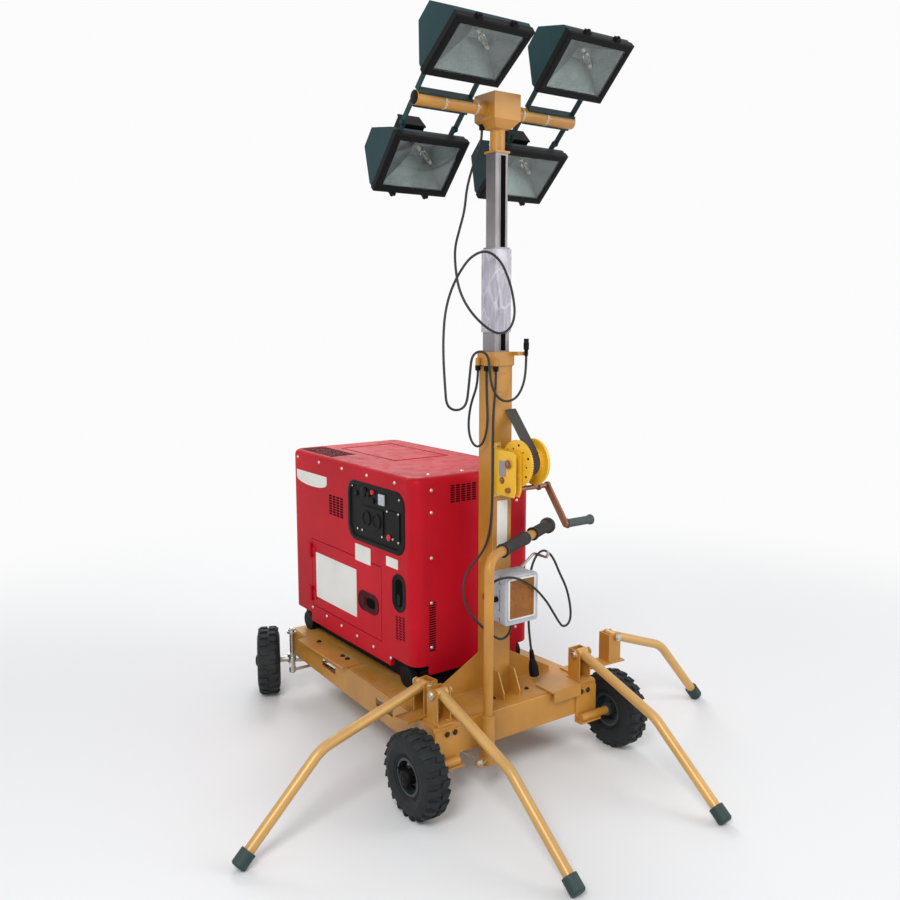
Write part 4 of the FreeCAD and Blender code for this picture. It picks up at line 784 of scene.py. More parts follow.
def canopy_vents():
    """The vent openings on the left, the front and the rear of the canopy, as dark slots of painted shade.
    """
    slots = Piece("vent_slots", painted_shade_and_black)
    side, front, rear = WALL_X - SLOT_OUT, CANOPY_LOW.y - SLOT_OUT, CANOPY_HIGH.y + SLOT_OUT
    for column in range(4):
        for row in range(8):
            slots.wall_slab(side, 0.417 + column * 0.0285, 0.776 + row * 0.0098,
                            rounded(0.021, 0.0066, 0.0028), SLOT_DEPTH)
    slanted = [(-0.007, -0.0035), (0.007, 0.0000), (0.007, 0.0045), (-0.007, 0.0010)]
    for column in range(3):
        for row in range(9):
            slots.wall_slab(side, -0.004 + column * 0.021, 0.425 + row * 0.0095 - column * 0.003,
                            slanted, SLOT_DEPTH)
    for row in range(21):
        slots.front_slab(-0.179, front, 0.395 + row * 0.0083, rounded(0.028, 0.0042, 0.002), SLOT_DEPTH)
    for column in range(5):
        for row in range(8):
            slots.front_slab(-0.096 + column * 0.0225, front, 0.897 + row * 0.0078,
                             rounded(0.017, 0.0048, 0.0022), SLOT_DEPTH)
    for row in range(12):
        for column in (-1, 0, 1):
            slots.front_slab(column * 0.094, rear, 0.520 + row * 0.017,
                             rounded(0.080, 0.0075, 0.003), -SLOT_DEPTH)
    slots.done("chassis")


def exhaust():
    """The bright lip of the exhaust at the rear, and its mouth as a dark disc of painted shade."""
    mouth = (0.128, CANOPY_HIGH.y - 0.0002, 0.852)
    outlet = Piece("exhaust_outlet", zinc)
    outlet.lathe(mouth, REARWARD, EXHAUST_LIP, 32)
    outlet.done("chassis")
    shade = Piece("exhaust_hole", painted_shade_and_black)
    shade.disc(mouth, REARWARD, EXHAUST_MOUTH, 0.0010, 32)
    shade.done("chassis")


def canopy_screws():
    """The round screw heads on the rear, the left, the front and the roof."""
    spots = [((x, CANOPY_HIGH.y, z), REARWARD) for z in (0.945, 0.720, 0.420) for x in (-0.182, 0.182)]
    spots += [((WALL_X, y, 0.960), LEFTWARD) for y in (0.770, 0.590, 0.410, 0.230, 0.047)]
    spots += [((WALL_X, 0.667 - k * 0.1174, 0.366 - k * 0.006), LEFTWARD) for k in range(6)]
    spots += [((x, CANOPY_LOW.y, z), FORWARD) for z in (0.945, 0.870, 0.715, 0.560, 0.405)
              for x in (-0.182, 0.182)]
    spots += [((x, -0.020, CANOPY_HIGH.z), UPWARD) for x in (-0.16, -0.02, 0.12)]
    screws = Piece("canopy_screws", zinc)
    for spot, way in spots:
        screws.dome(spot, way, *SCREW_HEAD)
    screws.done("chassis")


def blank_plates():
    """The blank badge and the two blank plates of the left wall."""
    plates = Piece("blank_plates", label_film)
    badge = [(-0.125, 0.026), (0.125, 0.026), (0.125, -0.004)]
    badge += [(0.125 * math.cos(t), -0.004 - 0.022 * math.sin(t))
              for t in (0.4, 0.8, 1.2, 1.57, 1.94, 2.34, 2.74)]
    badge += [(-0.125, -0.004)]
    plates.wall_slab(WALL_X - PLATE_OUT, 0.656, 0.884, badge, PLATE_DEPTH)
    for y, z, width, height in ((0.265, 0.668, 0.108, 0.062), (0.067, 0.680, 0.076, 0.034)):
        plates.wall_slab(WALL_X - PLATE_OUT, y, z, rounded(width, height, 0.004), PLATE_DEPTH)
    plates.done("chassis")


def roof_details():
    """The grille on the roof as dark strips of painted shade, and the raised seam of the hatch."""
    roof = CANOPY_HIGH.z
    grille = Piece("roof_grille", painted_shade_and_black)
    for k in range(16):
        x = -0.232 + k * 0.0068
        grille.slab([(x + a, y, roof + 0.0004) for a, y in
                     ((0, 0.520), (0.0038, 0.520), (0.0038, 0.790), (0, 0.790))], (0, 0, -0.002))
    grille.done("chassis")
    seam = Piece("roof_hatch", red)
    for low, high in (((-0.090, 0.300), (0.150, 0.306)), ((-0.090, 0.700), (0.150, 0.706)),
                      ((-0.090, 0.300), (-0.084, 0.706)), ((0.144, 0.300), (0.150, 0.706))):
        seam.block((*low, roof - 0.001), (*high, roof + 0.0022))
    seam.done("chassis", 0.0010)


def door_plate():
    """The blank notice on the service door."""
    notice = Piece("door_plate", label_film)
    notice.wall_slab(WALL_X - PLATE_OUT, 0.472, 0.510, rounded(0.317, 0.180, 0.003), PLATE_DEPTH)
    notice.done("service_door")


def dished(name, look, y, z, width, height, corner, body):
    """A dished recess in the left wall: a raised lip round a bowl."""
    piece = Piece(name, look)
    loops = []
    for grow, out in ((0.004, 0.0002), (0.003, LIP), (-0.001, LIP), (-0.004, LIP * 0.4), (-0.014, 0.0003)):
        pairs = rounded(width + 2 * grow, height + 2 * grow, max(0.001, corner + grow), 8)
        loops.append([(WALL_X - out, y + a, z + b) for a, b in pairs])
    piece.mesh.faces.new(piece.skin(loops)[-1])
    piece.done(body, sharp=40)


def recess_fittings():
    """The flap and finger hole of the door's latch, and the slot and pull of the tall recess; the flap's
    red, the hole and the slot are painted shade.
    """
    hole, flap = rounded(0.060, 0.036, 0.016), rounded(0.036, 0.034, 0.010)
    slot, pull = rounded(0.044, 0.098, 0.021, 8), rounded(0.020, 0.040, 0.009)
    for name, look, x, y, z, outline, thick, body, bevel in (
            ("latch_hole", painted_shade_and_black, HOLE_X, 0.213, 0.498, hole, 0.0012, "service_door", 0),
            ("latch_flap", red_in_painted_shade, PULL_X, 0.268, 0.498, flap, 0.0026, "service_door", 0.0012),
            ("recess_hole", painted_shade_and_black, HOLE_X, 0.024, 0.583, slot, 0.0012, "chassis", 0),
            ("recess_pull", black_plastic, PULL_X, 0.024, 0.560, pull, 0.0024, "chassis", 0.001)):
        piece = Piece(name, look)
        piece.wall_slab(x, y, z, outline, thick)
        piece.done(body, bevel)


def panel_corners():
    """The red corners that round the panel's opening off."""
    corners = Piece("panel_corners", red)
    half_w, half_h, round_off = 0.1890, 0.1060, 0.048
    for sy, sz in ((1, 1), (1, -1), (-1, 1), (-1, -1)):
        outline = [(sy * half_w, sz * half_h)]
        for k in range(9):
            turn = math.pi / 2 * k / 8
            outline.append((sy * (half_w - round_off * (1 - math.cos(turn))),
                            sz * (half_h - round_off * (1 - math.sin(turn)))))
        corners.wall_slab(WALL_X - 0.0002, *PANEL_CENTRE, outline, 0.0060)
    corners.done("chassis")


def panel_details():
    """Sockets, breaker, switches, gauges and terminals of the black panel."""
    face = PANEL_X
    surround = Piece("panel_surround", black_plastic)
    y, z = PANEL_CENTRE
    outer, inner = rounded(0.385, 0.219, 0.050, 8), rounded(0.355, 0.190, 0.040, 8)
    surround.skin([[(x, y + a * wide, z + b * high) for a, b in outline] for x, outline, wide, high in
                   ((-0.2518, outer, 1, 1), (-0.2535, outer, 0.985, 0.985), (-0.2530, inner, 1, 1),
                    (face, inner, 0.985, 0.98))])
    surround.done("chassis", sharp=50)
    fittings = Piece("panel_fittings", black_plastic)
    for cy, cz, width, height in ((0.200, 0.806, 0.150, 0.086), (0.062, 0.806, 0.084, 0.104)):
        fittings.wall_slab(face - 0.004, cy, cz, rounded(width, height, 0.006), 0.004)
    for cy in (0.165, 0.235):
        fittings.lathe((face - 0.004, cy, 0.806), LEFTWARD, SOCKET, 32)
    fittings.lathe((face, 0.256, 0.900), LEFTWARD, GAUGE, 32)
    for cy, cz in ((0.310, 0.885), (0.225, 0.893)):
        fittings.lathe((face, cy, cz), LEFTWARD, KNOB, 24)
    fittings.block((face - 0.005, 0.186, 0.865), (face, 0.206, 0.882))
    fittings.done("chassis", 0.001)
    lines = Piece("panel_bright_parts", zinc)
    for cy, cz in ((0.132, 0.757), (0.268, 0.757), (0.098, 0.853), (0.026, 0.757), (0.026, 0.855),
                   (0.300, 0.757), (0.335, 0.910), (0.020, 0.905)):
        lines.dome((face - 0.004, cy, cz), LEFTWARD, 0.0045, 0.002)
    for cy in (0.085, 0.055):
        lines.rod((face, cy, 0.764), (face - 0.009, cy, 0.764), 0.004, 0.004, 12)
    lines.done("chassis")
    pale = Piece("panel_breaker", box_plastic)
    pale.block((face - 0.006, 0.116, 0.868), (face, 0.153, 0.906))
    pale.block((face - 0.009, 0.124, 0.884), (face - 0.006, 0.145, 0.894))
    pale.done("chassis", 0.0012)
    reds = Piece("panel_red_parts", red_plastic)
    reds.lathe((face, 0.195, 0.904), LEFTWARD, BUTTON, 20)
    reds.lathe((face - 0.002, 0.085, 0.764), LEFTWARD, TERMINAL, 20)
    reds.done("chassis")


canopy_vents()
exhaust()
canopy_screws()
blank_plates()
roof_details()
door_plate()
panel_corners()
panel_details()
# The latch's recess, lip and bowl, in the canopy's red in painted shade.
dished("latch_recess", red_in_painted_shade, 0.229, 0.498, 0.134, 0.066, 0.030, "service_door")
dished("side_recess", black_plastic, 0.024, 0.583, 0.074, 0.126, 0.036, "chassis")
recess_fittings()


# Mast and head

FRAME_TOP = 0.2545     # where weld runs lie along the frame
COLLAR_LOW = 1.3560    # the underside of the mast's collar
GROOVE_X = 0.004       # the middle of the inner stages' grooves
END_CAP = [(0, 0), (0, 0.0205), (0.0012, 0.0205), (0.0024, 0.0185), (0.0028, 0)]
TIE_BAND = [(-0.0007, 0.0216), (-0.0007, 0.0223), (0.0007, 0.0223), (0.0007, 0.0216), (-0.0007, 0.0216)]


def bead(piece, points, radius=0.0028):
    """A weld run along straight stretches, as a row of overlapping ripples."""
    for start, end in zip(points, points[1:]):
        start, end = Vector(start), Vector(end)
        length = (end - start).length
        count = max(2, round(length / 0.0045))
        step = length / count
        profile = [(0, 0)]
        for k in range(count):
            profile += [(step * (k + 0.1), radius * 0.78), (step * (k + 0.55), radius)]
        piece.lathe(start, end - start, profile + [(length, 0)], 8)


def ring_round(x, y, z, half):
    """A square loop round the mast at height z, out by half."""
    return [(x + a * half, y + b * half, z) for a, b in CORNERS + CORNERS[:1]]


def mast_welds():
    """The weld runs at the mast's foot, its collar and its gussets."""
    welds = Piece("mast_welds", amber)
    bead(welds, ring_round(0, MAST_Y, 0.2550, 0.0395))
    bead(welds, ring_round(0, MAST_Y, COLLAR_LOW, 0.0395))
    for x, z in ((-0.012, 1.272), (0.009, 1.212), (0.004, 1.330)):
        bead(welds, [(x - 0.011, MAST_Y - 0.0388, z), (x + 0.011, MAST_Y - 0.0388, z + 0.002)], 0.0024)
    for side in (-1, 1):
        bead(welds, [(side * 0.040, MAST_Y + 0.0195, FRAME_TOP), (side * 0.268, MAST_Y + 0.0195, FRAME_TOP)])
        bead(welds, [(side * 0.0395, MAST_Y + 0.0195, 0.262), (side * 0.0395, MAST_Y + 0.0195, 0.384)])
        bead(welds, [(side * 0.0305, MAST_Y - 0.040, FRAME_TOP), (side * 0.0305, MAST_Y - 0.100, FRAME_TOP)])
    welds.done("chassis")


def mast_marks():
    """The blank plate of the outer stage, and the grooves of the inner stages between lips, as dark strips
    of painted shade.
    """
    plate = Piece("mast_plate", label_film)
    plate.front_slab(0.0005, MAST_Y - 0.0402, 0.838, rounded(0.043, 0.154, 0.003), 0.0014)
    plate.done("chassis", 0.0004)
    for name, body, half, low, high in (("groove_top", "mast_stage_3", 0.025, 1.722, 2.012),
                                        ("groove_middle", "mast_stage_2", 0.031, 1.404, 1.462)):
        groove = Piece(name, painted_shade_and_black)
        face, middle, height = MAST_Y - half, (low + high) / 2, high - low
        groove.front_slab(GROOVE_X, face - 0.0008, middle, rounded(0.019, height, 0.001), 0.0012)
        groove.done(body)
        lips = Piece(name + "_lips", mast_steel)
        for x in (-0.0115, 0.0115):
            lips.front_slab(GROOVE_X + x, face - 0.0016, middle, rounded(0.003, height, 0.0012), 0.0020)
        lips.done(body, 0.0003)


def head_details():
    """The head's weld rings, and the cable ties and end caps of the cross-arm."""
    head = Piece("head_welds", amber)
    for side in (-1, 1):
        head.hoop((side * 0.0518, ARM_CENTRE.y, ARM_CENTRE.z), RIGHTWARD, 0.0222, 0.0028, 32, 6)
    head.done("lamp_bar")
    neck = Piece("neck_weld", amber)
    neck.hoop((0, MAST_Y, 2.0915), UPWARD, 0.0245, 0.0028, 32, 6)
    neck.done("mast_stage_3")
    ties = Piece("cable_ties", white_plastic)
    for x in (-0.212, -0.093, 0.091, 0.191):
        for sway in (0, 0.0045):
            centre = Vector((x + sway, ARM_CENTRE.y, ARM_CENTRE.z))
            ties.lathe(centre, (1, 0.06, 0.1), TIE_BAND, 36)
        ties.block((x - 0.002, ARM_CENTRE.y - 0.0255, ARM_CENTRE.z - 0.002),
                   (x + 0.002, ARM_CENTRE.y - 0.0215, ARM_CENTRE.z + 0.002))
        tail = (x + 0.006, ARM_CENTRE.y - 0.034, ARM_CENTRE.z - 0.010)
        ties.rod((x, ARM_CENTRE.y - 0.024, ARM_CENTRE.z), tail, 0.0008, 0.0005, 8)
    ties.done("lamp_bar")
    caps = Piece("arm_end_caps", black_plastic)
    for side in (-1, 1):
        caps.lathe((side * 0.3115, ARM_CENTRE.y, ARM_CENTRE.z), (side, 0, 0), END_CAP, 32)
    caps.done("lamp_bar")


def gland(piece, foot, way, length):
    """A black cord gland: six-sided body and a ribbed dome nut towards way."""
    foot, way = Vector(foot), Vector(way)
    piece.lathe(foot, way, [(0, 0.0050), (0, 0.0098), (length * 0.45, 0.0098), (length * 0.45, 0.0086)], 6)
    profile = [(length * 0.42, 0.0088), (length * 0.8, 0.0090), (length * 0.96, 0.0076), (length, 0.0046),
               (length * 0.9, 0.0043)]
    piece.lathe(foot, way, profile, 24)


def gland_details():
    """The cord glands on the collar, the control box and the head."""
    fixed = Piece("cord_glands", black_plastic)
    for x, y in ((-0.0515, -0.150), (-0.0515, -0.196), (-0.040, -0.2295)):
        gland(fixed, (x, y, COLLAR_LOW), DOWNWARD, 0.0178)
    gland(fixed, (-0.0548, -0.262, 0.600), LEFTWARD, 0.0140)
    gland(fixed, (0.006, -0.262, 0.5202), DOWNWARD, 0.0140)
    fixed.done("chassis")
    moving = Piece("head_gland", black_plastic)
    gland(moving, (-0.040, -0.150, 2.1080), DOWNWARD, 0.0178)
    moving.done("mast_stage_3")


mast_welds()
mast_marks()
head_details()
gland_details()


# Winch

WINCH_AXIS = Vector((0, -0.297, 1.048))
CRANK_AXIS = Vector((0, -0.297, 0.964))
CRANK_TURN = 51.0      # degrees that the arm points below forward, at rest
CRANK_LENGTH = 0.145   # from the crank's shaft to its grip
GRIP_X = 0.129         # where the grip starts, right of the mast's middle
FLANGE_RIM = [(0.0665, 0.046), (0.0640, 0.052), (0.0640, 0.066), (0.0610, 0.071), (0.0610, 0.0750),
              (0.0635, 0.0768), (0.0665, 0.0768), (0.0700, 0.0752), (0.0712, 0.072), (0.0712, 0.060),
              (0.0704, 0.050)]
FLANGE_HUB = [(0.0700, 0.032), (0.0722, 0.031), (0.0722, 0.018), (0.0700, 0.017)]
GEAR_HUB = [(0, 0), (0, 0.026), (0.0022, 0.024), (0.0022, 0.018), (0.0045, 0.017), (0.0045, 0)]
CRANK_COLLAR = [(0.084, 0.0081), (0.084, 0.0125), (0.0875, 0.0130), (0.091, 0.0125), (0.091, 0.0081)]


def upright(degrees):
    """The direction in the gear's plane at an angle from rearward to upward."""
    angle = math.radians(degrees)
    return Vector((0, math.cos(angle), math.sin(angle)))


def winch_gear():
    """The gear's teeth and hub, and its holes as dark discs of painted shade."""
    gear = Piece("gear_teeth", winch_paint)
    for turn in turns(56):
        out = Vector((0, math.cos(turn), math.sin(turn)))
        along = Vector((0, -math.sin(turn), math.cos(turn)))
        root, tip = WINCH_AXIS + out * 0.0718, WINCH_AXIS + out * 0.0755
        outline = [root - along * 0.0028, root + along * 0.0028, tip + along * 0.0014, tip - along * 0.0014]
        gear.slab([p + Vector((-0.0055, 0, 0)) for p in outline], (0.007, 0, 0))
    gear.lathe(WINCH_AXIS + Vector((-0.006, 0, 0)), LEFTWARD, GEAR_HUB, 32)
    gear.done("winch_spool")
    holes = Piece("gear_holes", painted_shade_and_black)
    for k in range(12):
        out = upright(30 * (k + 0.3))
        reach, radius = (0.060, 0.0042) if k % 2 else (0.049, 0.0030)
        holes.disc(WINCH_AXIS + out * reach + Vector((-0.0058, 0, 0)), LEFTWARD, radius, 0.0005, 16)
    holes.done("winch_spool")


def winch_drum():
    """The drum's dished flange and the webbing wound on it."""
    flange = Piece("drum_flange", winch_paint)
    flange.lathe(WINCH_AXIS, RIGHTWARD, FLANGE_RIM, 64)
    flange.lathe(WINCH_AXIS, RIGHTWARD, FLANGE_HUB, 40)
    flange.done("winch_spool")
    wound = Piece("wound_webbing", strap_web)
    layers = [(0.0105, 0.044)]
    for k in range(4):
        edge = 0.0105 + 0.0006 * k
        layers += [(edge, 0.0448 + 0.0004 * k), (edge + 0.0002, 0.0451 + 0.0004 * k)]
    layers += [(0.0530, 0.0463), (0.0534, 0.0455), (0.0536, 0.044)]
    wound.lathe(WINCH_AXIS, RIGHTWARD, layers, 64)
    wound.done("winch_spool")


def winch_fixings():
    """The winch's bolts, its fixings on the mast and its blank plate."""
    bolts = Piece("winch_bolts", copper)
    bolts.bolt(WINCH_AXIS + Vector((-0.0418, 0, 0)), LEFTWARD, 0.020, 0.006)
    bolts.bolt((-0.0362, -0.262, 0.992), LEFTWARD, 0.016, 0.007)
    bolts.bolt(WINCH_AXIS + Vector((0.0818, 0, 0)), RIGHTWARD, 0.020, 0.006)
    bolts.done("chassis", 0.0006)
    screws = Piece("winch_fixings", zinc)
    for z in (1.100, 0.940):
        screws.bolt((-0.023, MAST_Y - 0.0440, z), FORWARD, 0.010, 0.005)
    for x in (-0.0100, -0.0262):
        screws.rod((x, -0.245, 0.972), (x - 0.0078, -0.245, 0.972), 0.0045, 0.0045, 12)
    screws.done("chassis", 0.0005)
    badge = Piece("winch_plate", grey_film)
    badge.wall_slab(-0.0366, -0.263, 1.030, rounded(0.036, 0.050, 0.003), 0.0008)
    badge.done("chassis")


def crank_details():
    """The crank's grip, with its flanges and grooves, and the crank's collar, pins and nut."""
    way = -upright(CRANK_TURN)
    end = CRANK_AXIS + way * CRANK_LENGTH + Vector((GRIP_X, 0, 0))
    grip = Piece("crank_grip", grip_slate)
    profile = [(0.001, 0.0121), (0.001, 0.0158), (0.004, 0.0162), (0.006, 0.0150), (0.008, 0.0138)]
    profile += ribs(0.011, 0.0076, 11, ((0, 0.0139), (0.0012, 0.0131), (0.0026, 0.0131), (0.0038, 0.0139)))
    profile += [(0.0965, 0.0139), (0.0985, 0.0160), (0.1020, 0.0170), (0.1075, 0.0170),
                (0.1100, 0.0155), (0.1105, 0)]
    grip.lathe(end, RIGHTWARD, profile, 32)
    grip.done("winch_handle")
    collars = Piece("crank_collars", copper)
    collars.lathe(CRANK_AXIS, RIGHTWARD, CRANK_COLLAR, 28)
    for out in (-0.020, 0.020):
        middle = CRANK_AXIS + way * (CRANK_LENGTH / 2) + Vector((0.125, 0, 0))
        pin = middle + way * out
        collars.rod(pin + Vector((-0.0045, 0, 0)), pin + Vector((-0.0042, 0, 0)), 0.003)
    collars.bolt(CRANK_AXIS + Vector((GRIP_X, 0, 0)), RIGHTWARD, 0.017, 0.007)
    collars.done("winch_handle", 0.0004)


winch_gear()
winch_drum()
winch_fixings()
crank_details()


# Control box

BOX_CENTRE = (0.0125, 0.600)       # across and up
WINDOW_CENTRE = (0.011, 0.604)


def front_loops(centre, rows):
    """A rounded loop of points about centre for each row of width, height, corner and y."""
    return [[(centre[0] + a, y, centre[1] + b) for a, b in rounded(width, height, corner, 4)]
            for width, height, corner, y in rows]


def control_box_details():
    """The lid with its latches, a dark ring of painted shade in the lid's seam, window frame and pane, the
    breakers behind it on a sheet of painted shade, and the hook.
    """
    # A dark ring of painted shade in the seam between the lid and the box.
    seam_shade = Piece("box_seam_shade", painted_shade_and_black)
    seam_shade.skin(front_loops(BOX_CENTRE, (
        (0.1345, 0.1595, 0.0080, -0.2755), (0.1358, 0.1608, 0.0085, -0.2760),
        (0.1358, 0.1608, 0.0085, -0.2790), (0.1345, 0.1595, 0.0080, -0.2795))))
    seam_shade.done("chassis")
    lid = Piece("box_lid", box_plastic)
    outside = front_loops(BOX_CENTRE, (
        (0.1350, 0.1600, 0.0080, -0.2792), (0.1384, 0.1634, 0.0098, -0.2792),
        (0.1384, 0.1634, 0.0098, -0.3050), (0.1360, 0.1610, 0.0085, -0.3084)))
    opening = front_loops(WINDOW_CENTRE, (
        (0.1170, 0.1420, 0.0050, -0.3084), (0.1160, 0.1410, 0.0050, -0.3070),
        (0.1140, 0.1390, 0.0050, -0.3070)))
    lid.skin(outside + opening)
    for z in (0.555, 0.645):
        lid.block((-0.0600, -0.2900, z - 0.010), (-0.0552, -0.2690, z + 0.010))
        lid.block((0.0800, -0.2900, z - 0.010), (0.0848, -0.2690, z + 0.010))
    lid.done("chassis", 0.0008)
    frame_rim = Piece("window_frame", white_plastic)
    frame_rim.skin(front_loops(WINDOW_CENTRE, (
        (0.1140, 0.1390, 0.0050, -0.3060), (0.1140, 0.1390, 0.0050, -0.3110),
        (0.1120, 0.1370, 0.0045, -0.3128), (0.1040, 0.1295, 0.0030, -0.3128),
        (0.1018, 0.1274, 0.0025, -0.3112), (0.1014, 0.1270, 0.0025, -0.3012))))
    frame_rim.done("chassis", 0.0004)
    glazing = Piece("window_pane", window)
    glazing.front_slab(WINDOW_CENTRE[0], -0.3108, WINDOW_CENTRE[1], rounded(0.1012, 0.1268, 0.0025),
                       0.0018)
    glazing.done("chassis", stands_for=("control_box_window",))
    rail = Piece("breaker_row", white_plastic)
    levers_and_shade = Piece("breaker_levers_and_shade", painted_shade_and_black)
    for k in range(4):
        x = WINDOW_CENTRE[0] - 0.045 + k * 0.0225
        rail.block((x + 0.0004, -0.3042, 0.572), (x + 0.0196, -0.3012, 0.634))
        rail.block((x + 0.0004, -0.3066, 0.588), (x + 0.0196, -0.3042, 0.618))
        # Each breaker's black lever, and a dark strip under its raised front.
        levers_and_shade.block((x + 0.005, -0.3084, 0.600), (x + 0.015, -0.3060, 0.608))
        levers_and_shade.block((x + 0.002, -0.3046, 0.576), (x + 0.018, -0.3040, 0.584))
    rail.done("chassis", 0.0006)
    # A dark sheet of painted shade: the inside of the box behind the breakers.
    levers_and_shade.block((-0.039, -0.3016, 0.5415), (0.061, -0.3011, 0.6665))
    levers_and_shade.done("chassis", 0.0004)
    hook = Piece("lead_hook", zinc)
    hook.bar([(0.080, -0.2197, 0.6717), (0.136, -0.216, 0.7107), (0.1395, -0.2180, 0.7132),
              (0.1410, -0.2230, 0.7142), (0.1410, -0.2770, 0.7142), (0.1410, -0.2830, 0.7165),
              (0.1410, -0.2860, 0.7215), (0.1410, -0.2902, 0.7350)], 0.0046)
    hook.done("chassis", sharp=60)


control_box_details()


# Frame, legs and wheels

# Each leg's pivot, and the way that it points, in degrees from rightward to rearward.
LEGS = {"left": (-0.307, -0.205, 187.3), "right": (0.517, -0.225, -3.0),
        "front_left": (-0.300, -0.292, -90.0), "front_right": (0.300, -0.292, -90.0)}
HANDLE_TURN = 28.0     # degrees from rightward to rearward
HANDLE_CORNER = Vector((-0.155, -0.348, 0.770))
RIB_PITCH = 0.009
END_KNOB = [(0.4965, 0.0160), (0.4975, 0.0200), (0.502, 0.0262), (0.509, 0.0290), (0.517, 0.0290),
            (0.524, 0.0262), (0.529, 0.0200), (0.5305, 0.0110), (0.5305, 0)]
LEG_HEIGHT = 0.350     # of a leg's pivot
BRACKET_LOW = 0.2605   # where the leg brackets stand on the frame
AXLE_HEIGHT = 0.134
FRONT_HUB = (0.420, -0.336)
KING_PIN = (0.302, 0.764)
REAR_HUB_OUT = 0.092   # from the king pin to the hub's middle
WHEEL_TURN = 24.5      # degrees that the rear wheels are steered at rest
HOLE_CIRCLE = 0.0370   # the radius that the rims' holes and nuts lie on
HUB_CAP = [(0.0365, 0.0185), (0.0365, 0.0250), (0.0440, 0.0246), (0.0495, 0.0205), (0.0525, 0.0140),
           (0.0535, 0.0055), (0.0515, 0.0045), (0.0498, 0.0050), (0.0498, 0.0150), (0.0475, 0.0178),
           (0.0365, 0.0185)]
HUB_SLEEVE = [(0.0130, 0.024), (0.0180, 0.0235), (0.0240, 0.0222), (0.0365, 0.0221)]
TYRE_RINGS = ((0.0625, 0.0352, 0.0022), (0.0700, 0.0392, 0.0013), (0.0950, 0.0432, 0.0013))


def frame_details():
    """Bolts, nuts and weld runs of the frame, the leg brackets and the king pins."""
    nuts = Piece("frame_nuts", zinc)
    for x, y, heading in LEGS.values():
        across = level(heading + 90)
        pivot = Vector((x, y, LEG_HEIGHT))
        nuts.bolt(pivot - across * 0.0369, -across, 0.019, 0.005)
        nuts.bolt(pivot + across * 0.0349, across, 0.019, 0.006)
    for side in (-1, 1):
        nuts.bolt((side * KING_PIN[0], KING_PIN[1], 0.2579), UPWARD, 0.019, 0.006)
        nuts.bolt((side * KING_PIN[0], KING_PIN[1], 0.1107), DOWNWARD, 0.019, 0.006)
    nuts.bolt((-0.269, -0.259, 0.2602), UPWARD, 0.017, 0.009)
    nuts.bolt((0.337, -0.262, 0.2602), UPWARD, 0.017, 0.009)
    nuts.done("chassis", 0.0006)
    dark = Piece("frame_bolts", dark_bolt)
    for side in (-1, 1):
        for x in (0.270, 0.300):
            dark.bolt((side * x, -0.3289, 0.226), FORWARD, 0.013, 0.003)
    for x, y in ((-0.104, -0.131), (-0.054, -0.246), (0.089, -0.248), (-0.023, -0.115)):
        dark.bolt((x, y, 0.2539), UPWARD, 0.012, 0.006)
    for y in (0.336, 0.372, 0.560):
        dark.bolt((-0.282, y, 0.2599), UPWARD, 0.014, 0.006)
    dark.done("chassis", 0.0005)
    welds = Piece("frame_welds", amber)
    for x, y, heading in LEGS.values():
        way, across = level(heading), level(heading + 90)
        for side in (-1, 1):
            near = Vector((x, y, BRACKET_LOW)) + across * (side * 0.0278)
            bead(welds, [near - way * 0.034, near + way * 0.016])
        back = Vector((x, y, BRACKET_LOW)) - way * 0.0375
        bead(welds, [back - across * 0.026, back + across * 0.026])
    for y, half in ((-0.118, 0.330), (0.300, 0.308)):
        for side in (-1, 1):
            x = side * (half - 0.0052)
            bead(welds, [(x, y - 0.001, 0.153), (x, y - 0.001, 0.244)])
    welds.hoop((-0.276, -0.298, BRACKET_LOW), UPWARD, 0.011, 0.0022, 28, 6)
    for y in (0.280, 0.440, 0.600):
        bead(welds, [(-0.2585, y, 0.2550), (-0.2585, y + 0.030, 0.2550)])
    welds.done("chassis")


def wheel_places():
    """Each wheel's centre and its way out, by name."""
    places = {}
    for side, hand in ((-1, "left"), (1, "right")):
        places["front_" + hand] = (Vector((side * FRONT_HUB[0], FRONT_HUB[1], AXLE_HEIGHT)),
                                   Vector((side, 0, 0)))
        way = level(-WHEEL_TURN) * side
        pin = Vector((side * KING_PIN[0], KING_PIN[1], AXLE_HEIGHT))
        places["rear_" + hand] = (pin + way * REAR_HUB_OUT, way)
    return places


def wheel_details(name, centre, way):
    """A hub cap, hand holes as dark sheets of painted shade, rim nuts, raised rings on the tyre's walls and
    the valve.
    """
    body = "wheel_" + name
    first = Vector(UPWARD)
    second = way.cross(first)
    cap = Piece("hub_cap_" + name, black_plastic)
    cap.lathe(centre, way, HUB_CAP, 36)
    cap.lathe(centre, way, HUB_SLEEVE, 36)
    cap.done(body)
    dark = Piece("hand_holes_" + name, painted_shade_and_black)
    nuts = Piece("rim_nuts_" + name, zinc)
    for angle in turns(4):
        out = first * math.cos(angle) + second * math.sin(angle)
        along = second * math.cos(angle) - first * math.sin(angle)
        middle = centre + way * 0.0112 + out * HOLE_CIRCLE
        dark.slab([middle + along * (0.0105 * math.cos(t)) + out * (0.0060 * math.sin(t))
                   - way * (0.0022 * math.sin(t) * 0.4) for t in turns(20)], way * 0.0010)
        angle += math.pi / 4
        out = first * math.cos(angle) + second * math.sin(angle)
        nuts.bolt(centre + way * 0.0107 + out * HOLE_CIRCLE, way, 0.009, 0.005)
    dark.done(body)
    nuts.done(body, 0.0004)
    rings = Piece("tyre_rings_" + name, rubber)
    for face in (-1, 1):
        for radius, out, thick in TYRE_RINGS:
            rings.hoop(centre + way * (face * out), way, radius, thick, 56, 6)
    rings.done(body)
    valve = Piece("valve_" + name, black_plastic)
    out = (first * 0.3 + second * 0.95).normalized()
    foot = centre + way * 0.012 + out * 0.0465
    valve.rod(foot, foot + way * 0.020, 0.0032, 0.0026, 12)
    valve.rod(foot + way * 0.020, foot + way * 0.028, 0.0038, 0.0036, 12)
    valve.done(body, 0.0004)


